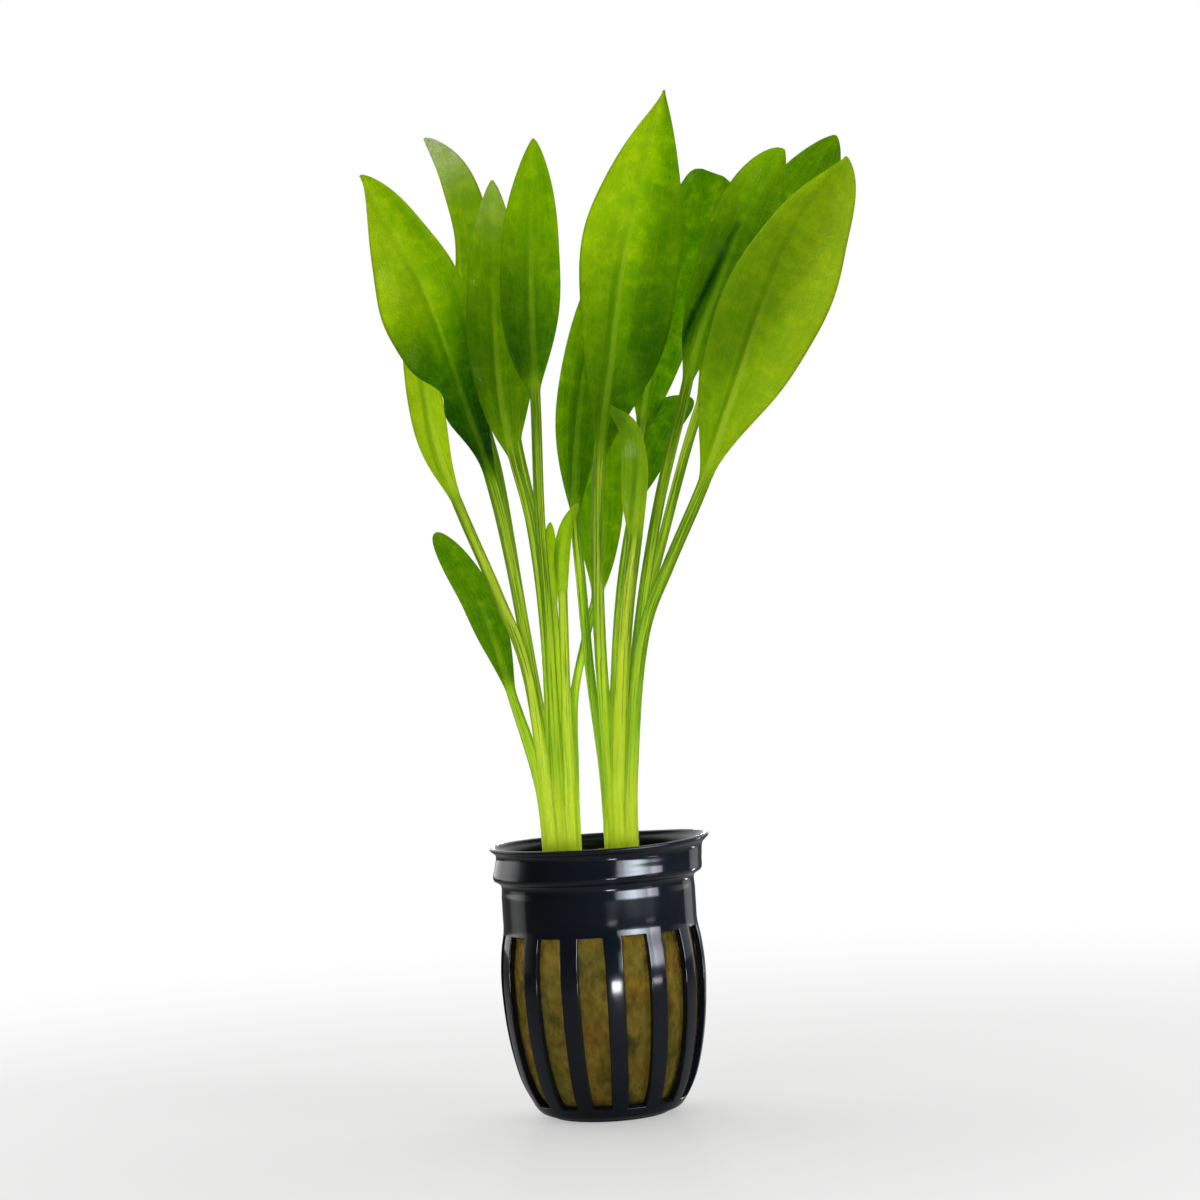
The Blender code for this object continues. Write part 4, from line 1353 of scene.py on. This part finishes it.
def make_lamps(looks):
    """The large lamps and the low ones, which look level at the pot's axis and light only the pot."""
    skins = [name + "_skin" for name in LEAVES]
    plant = lit_group("lit by the stalk light", [*skins, "wool_plug", "wool_fibres"])
    pot = lit_group("lit by the low lamps", ["pot_wall"])
    for name, place, target, size, look, spread, alone in LAMPS:
        receivers = plant if alone else None
        add_softbox(name, place, target, size, getattr(looks, look), WHITE, spread, receivers)
    for name, place, size, radiance, colour in POT_GLINTS:
        target = (0, 0, place[2])
        add_softbox(name, place, target, size, radiance * looks.glints, colour, GLINT_SPREAD, pot)


def make_camera():
    """The photograph's camera: level, in front, and rolled a little to the right."""
    camera = bpy.data.cameras.new("camera")
    camera.sensor_width = SENSOR
    camera.lens = SENSOR / 2 * -CAMERA_PLACE[1] / HALF_PICTURE
    camera.clip_start, camera.clip_end = CLIP
    holder = add_object("camera", camera)
    holder.location = [c * MM for c in CAMERA_PLACE]
    holder.rotation_euler = (math.radians(90), math.radians(CAMERA_ROLL_DEG), 0.0)
    bpy.context.scene.camera = holder


def colour_look(name, description, value):
    """A colour that a user can change."""
    return FloatVectorProperty(
        name=name, description=description, default=value, size=3, subtype="COLOR", min=0, max=1
    )


def amount_look(name, description, value, least=0.0, most=1e6):
    """A number that a user can change."""
    return FloatProperty(name=name, description=description, default=value, min=least, max=most)


class LeafLooks(bpy.types.PropertyGroup):
    """Colours of the leaves, as seen with white light behind one leaf, and their wetness."""

    blade: colour_look("Blade", "Middle green of a blade", (0.20, 0.38, 0.0005))
    young: colour_look("Young", "Yellow green of young tissue", (0.35, 0.55, 0.0004))
    dark: colour_look("Dark", "Deeper green of patches", (0.08, 0.27, 0.0003))
    vein: colour_look("Veins", "Pale green of the veins", (0.30, 0.47, 0.0008))
    rib: colour_look("Midrib", "Pale green of the midrib", (0.55, 0.74, 0.04))
    # This green is also painted shade: the line beside a midrib and the sides of a stalk
    groove: colour_look("Groove", "Deep green beside a midrib and in a stalk's grooves", (0.06, 0.17, 0.002))
    neck: colour_look("Neck", "Upper end of a stalk", (0.28, 0.47, 0.008))
    stem: colour_look("Green stalk", "Middle of an old leaf's stalk", (0.26, 0.56, 0.008))
    stalk: colour_look("Pale stalk", "Middle of a young leaf's stalk", (0.86, 0.96, 0.07))
    foot: colour_look("Foot", "Cream and lime foot of a stalk", (0.84, 0.98, 0.06))
    # A painted whitish sheen: a highlight on the tips of some blades
    frost: colour_look("Frost", "Whitish sheen of a pale tip", (0.50, 0.56, 0.36))
    surface: colour_look("Surface", "What a blade sends back of the light in front", (0.06, 0.20, 0.002))
    wet_roughness: amount_look("Wet roughness", "Roughness where wet", 0.22, most=1.0)
    dry_roughness: amount_look("Dry roughness", "Roughness where dry", 0.42, most=1.0)


class PotLooks(bpy.types.PropertyGroup):
    """Colours of the pot and gloss of its plastic."""

    plastic: colour_look("Plastic", "Black of the moulded plastic", (0.0025, 0.004, 0.0065))
    dust: colour_look("Dust", "Thin dry film on the plastic", (0.012, 0.014, 0.017))
    gloss: amount_look("Gloss", "Least roughness of the plastic", 0.07, most=1.0)


class WoolLooks(bpy.types.PropertyGroup):
    """Colours of the plug and the crowns, and the number of loose fibres."""

    wool: colour_look("Wool", "Brown of the damp wool", (0.43, 0.24, 0.022))
    olive: colour_look("Olive", "Olive patches", (0.30, 0.26, 0.034))
    soil: colour_look("Dark", "Dark wet patches", (0.03, 0.021, 0.004))
    straw: colour_look("Straw", "Lighter fibres", (0.50, 0.37, 0.07))
    rootstock: colour_look("Rootstock", "Brown of the crowns", (0.20, 0.15, 0.05))
    shoot: colour_look("Shoot", "Cream top of the crowns", (0.50, 0.52, 0.16))
    fibre_count: IntProperty(name="Fibres", description="Loose fibres", default=1700, min=0, max=4000)


class StudioLooks(bpy.types.PropertyGroup):
    """Light and floor."""

    back_light: amount_look("Back", "Light from behind the plant", 1.2)
    front_light: amount_look("Front", "Light from the front", 0.07)
    left_light: amount_look("Left", "Light from the left beside the middle", 1.25)
    top_light: amount_look("Top", "Light from above", 0.15)
    sun: amount_look("Backlight", "Radiance of the lamp straight behind", 60)
    key: amount_look("Key", "Radiance of the lamp high on the right", 9.0)
    fill: amount_look("Fill", "Radiance of the lamp high on the left", 1.1)
    stalks: amount_look("Stalk light", "Radiance of the low lamp in front", 65)
    glints: amount_look("Glints", "Strength of the low lamps round the pot", 1.0)
    floor: colour_look("Floor", "Pale floor", (0.86, 0.86, 0.85))
    floor_glow: amount_look("Floor glow", "Light that the floor gives off", 0.12)
    floor_radius: amount_look("Floor radius", "Radius of the floor, in mm", 1500.0, least=300.0)


class ECHINODORUS_OT_left_clump(bpy.types.Operator):
    """Builds the leaves of the left clump."""

    bl_idname = "echinodorus.left_clump"
    bl_label = "Left clump"

    def execute(self, context):
        make_leaves(LEFT, context.scene.echinodorus_leaves)
        return {"FINISHED"}


class ECHINODORUS_OT_right_clump(bpy.types.Operator):
    """Builds the leaves of the right clump."""

    bl_idname = "echinodorus.right_clump"
    bl_label = "Right clump"

    def execute(self, context):
        make_leaves(RIGHT, context.scene.echinodorus_leaves)
        return {"FINISHED"}


class ECHINODORUS_OT_pot(bpy.types.Operator):
    """Builds the slotted net pot."""

    bl_idname = "echinodorus.pot"
    bl_label = "Net pot"

    def execute(self, context):
        make_pot(context.scene.echinodorus_pot)
        return {"FINISHED"}


class ECHINODORUS_OT_plug(bpy.types.Operator):
    """Builds the mineral wool plug with its fibres."""

    bl_idname = "echinodorus.plug"
    bl_label = "Wool plug"

    def execute(self, context):
        make_plug(context.scene.echinodorus_wool)
        return {"FINISHED"}


class ECHINODORUS_OT_crowns(bpy.types.Operator):
    """Builds the rootstocks that the leaves stand on."""

    bl_idname = "echinodorus.crowns"
    bl_label = "Crowns"

    def execute(self, context):
        material = crown_material(context.scene.echinodorus_wool)
        make_crown("left_rootstock", LEFT, "left_crown", material)
        make_crown("right_rootstock", RIGHT, "right_crown", material)
        return {"FINISHED"}


class ECHINODORUS_OT_studio(bpy.types.Operator):
    """Builds the floor, the light and the camera."""

    bl_idname = "echinodorus.studio"
    bl_label = "Studio"

    def execute(self, context):
        looks = context.scene.echinodorus_studio
        make_floor(looks)
        make_world(looks)
        make_lamps(looks)
        make_camera()
        context.scene.view_settings.view_transform = "Standard"
        return {"FINISHED"}


class ECHINODORUS_PT_panel(bpy.types.Panel):
    """Lists the steps that build the plant."""

    bl_label = "Potted Echinodorus"
    bl_space_type = "VIEW_3D"
    bl_region_type = "UI"
    bl_category = "Echinodorus"

    def draw(self, context):
        for operator in OPERATORS:
            self.layout.operator(operator.bl_idname)


OPERATORS = (
    ECHINODORUS_OT_left_clump,
    ECHINODORUS_OT_right_clump,
    ECHINODORUS_OT_pot,
    ECHINODORUS_OT_plug,
    ECHINODORUS_OT_crowns,
    ECHINODORUS_OT_studio,
)
LOOKS = {
    "echinodorus_leaves": LeafLooks,
    "echinodorus_pot": PotLooks,
    "echinodorus_wool": WoolLooks,
    "echinodorus_studio": StudioLooks,
}


def register():
    """Registers the properties, the operators and the panel."""
    for name, looks in LOOKS.items():
        bpy.utils.register_class(looks)
        setattr(bpy.types.Scene, name, PointerProperty(type=looks))
    for operator in (*OPERATORS, ECHINODORUS_PT_panel):
        bpy.utils.register_class(operator)


def unregister():
    """Takes everything that register added away again."""
    for operator in (ECHINODORUS_PT_panel, *reversed(OPERATORS)):
        bpy.utils.unregister_class(operator)
    for name, looks in LOOKS.items():
        delattr(bpy.types.Scene, name)
        bpy.utils.unregister_class(looks)


def main():
    """Builds every piece, in order."""
    register()
    make_vein_group()
    make_mottle_group()
    bpy.ops.echinodorus.left_clump()
    bpy.ops.echinodorus.right_clump()
    bpy.ops.echinodorus.pot()
    bpy.ops.echinodorus.plug()
    bpy.ops.echinodorus.crowns()
    bpy.ops.echinodorus.studio()


if __name__ == "__main__":
    main()
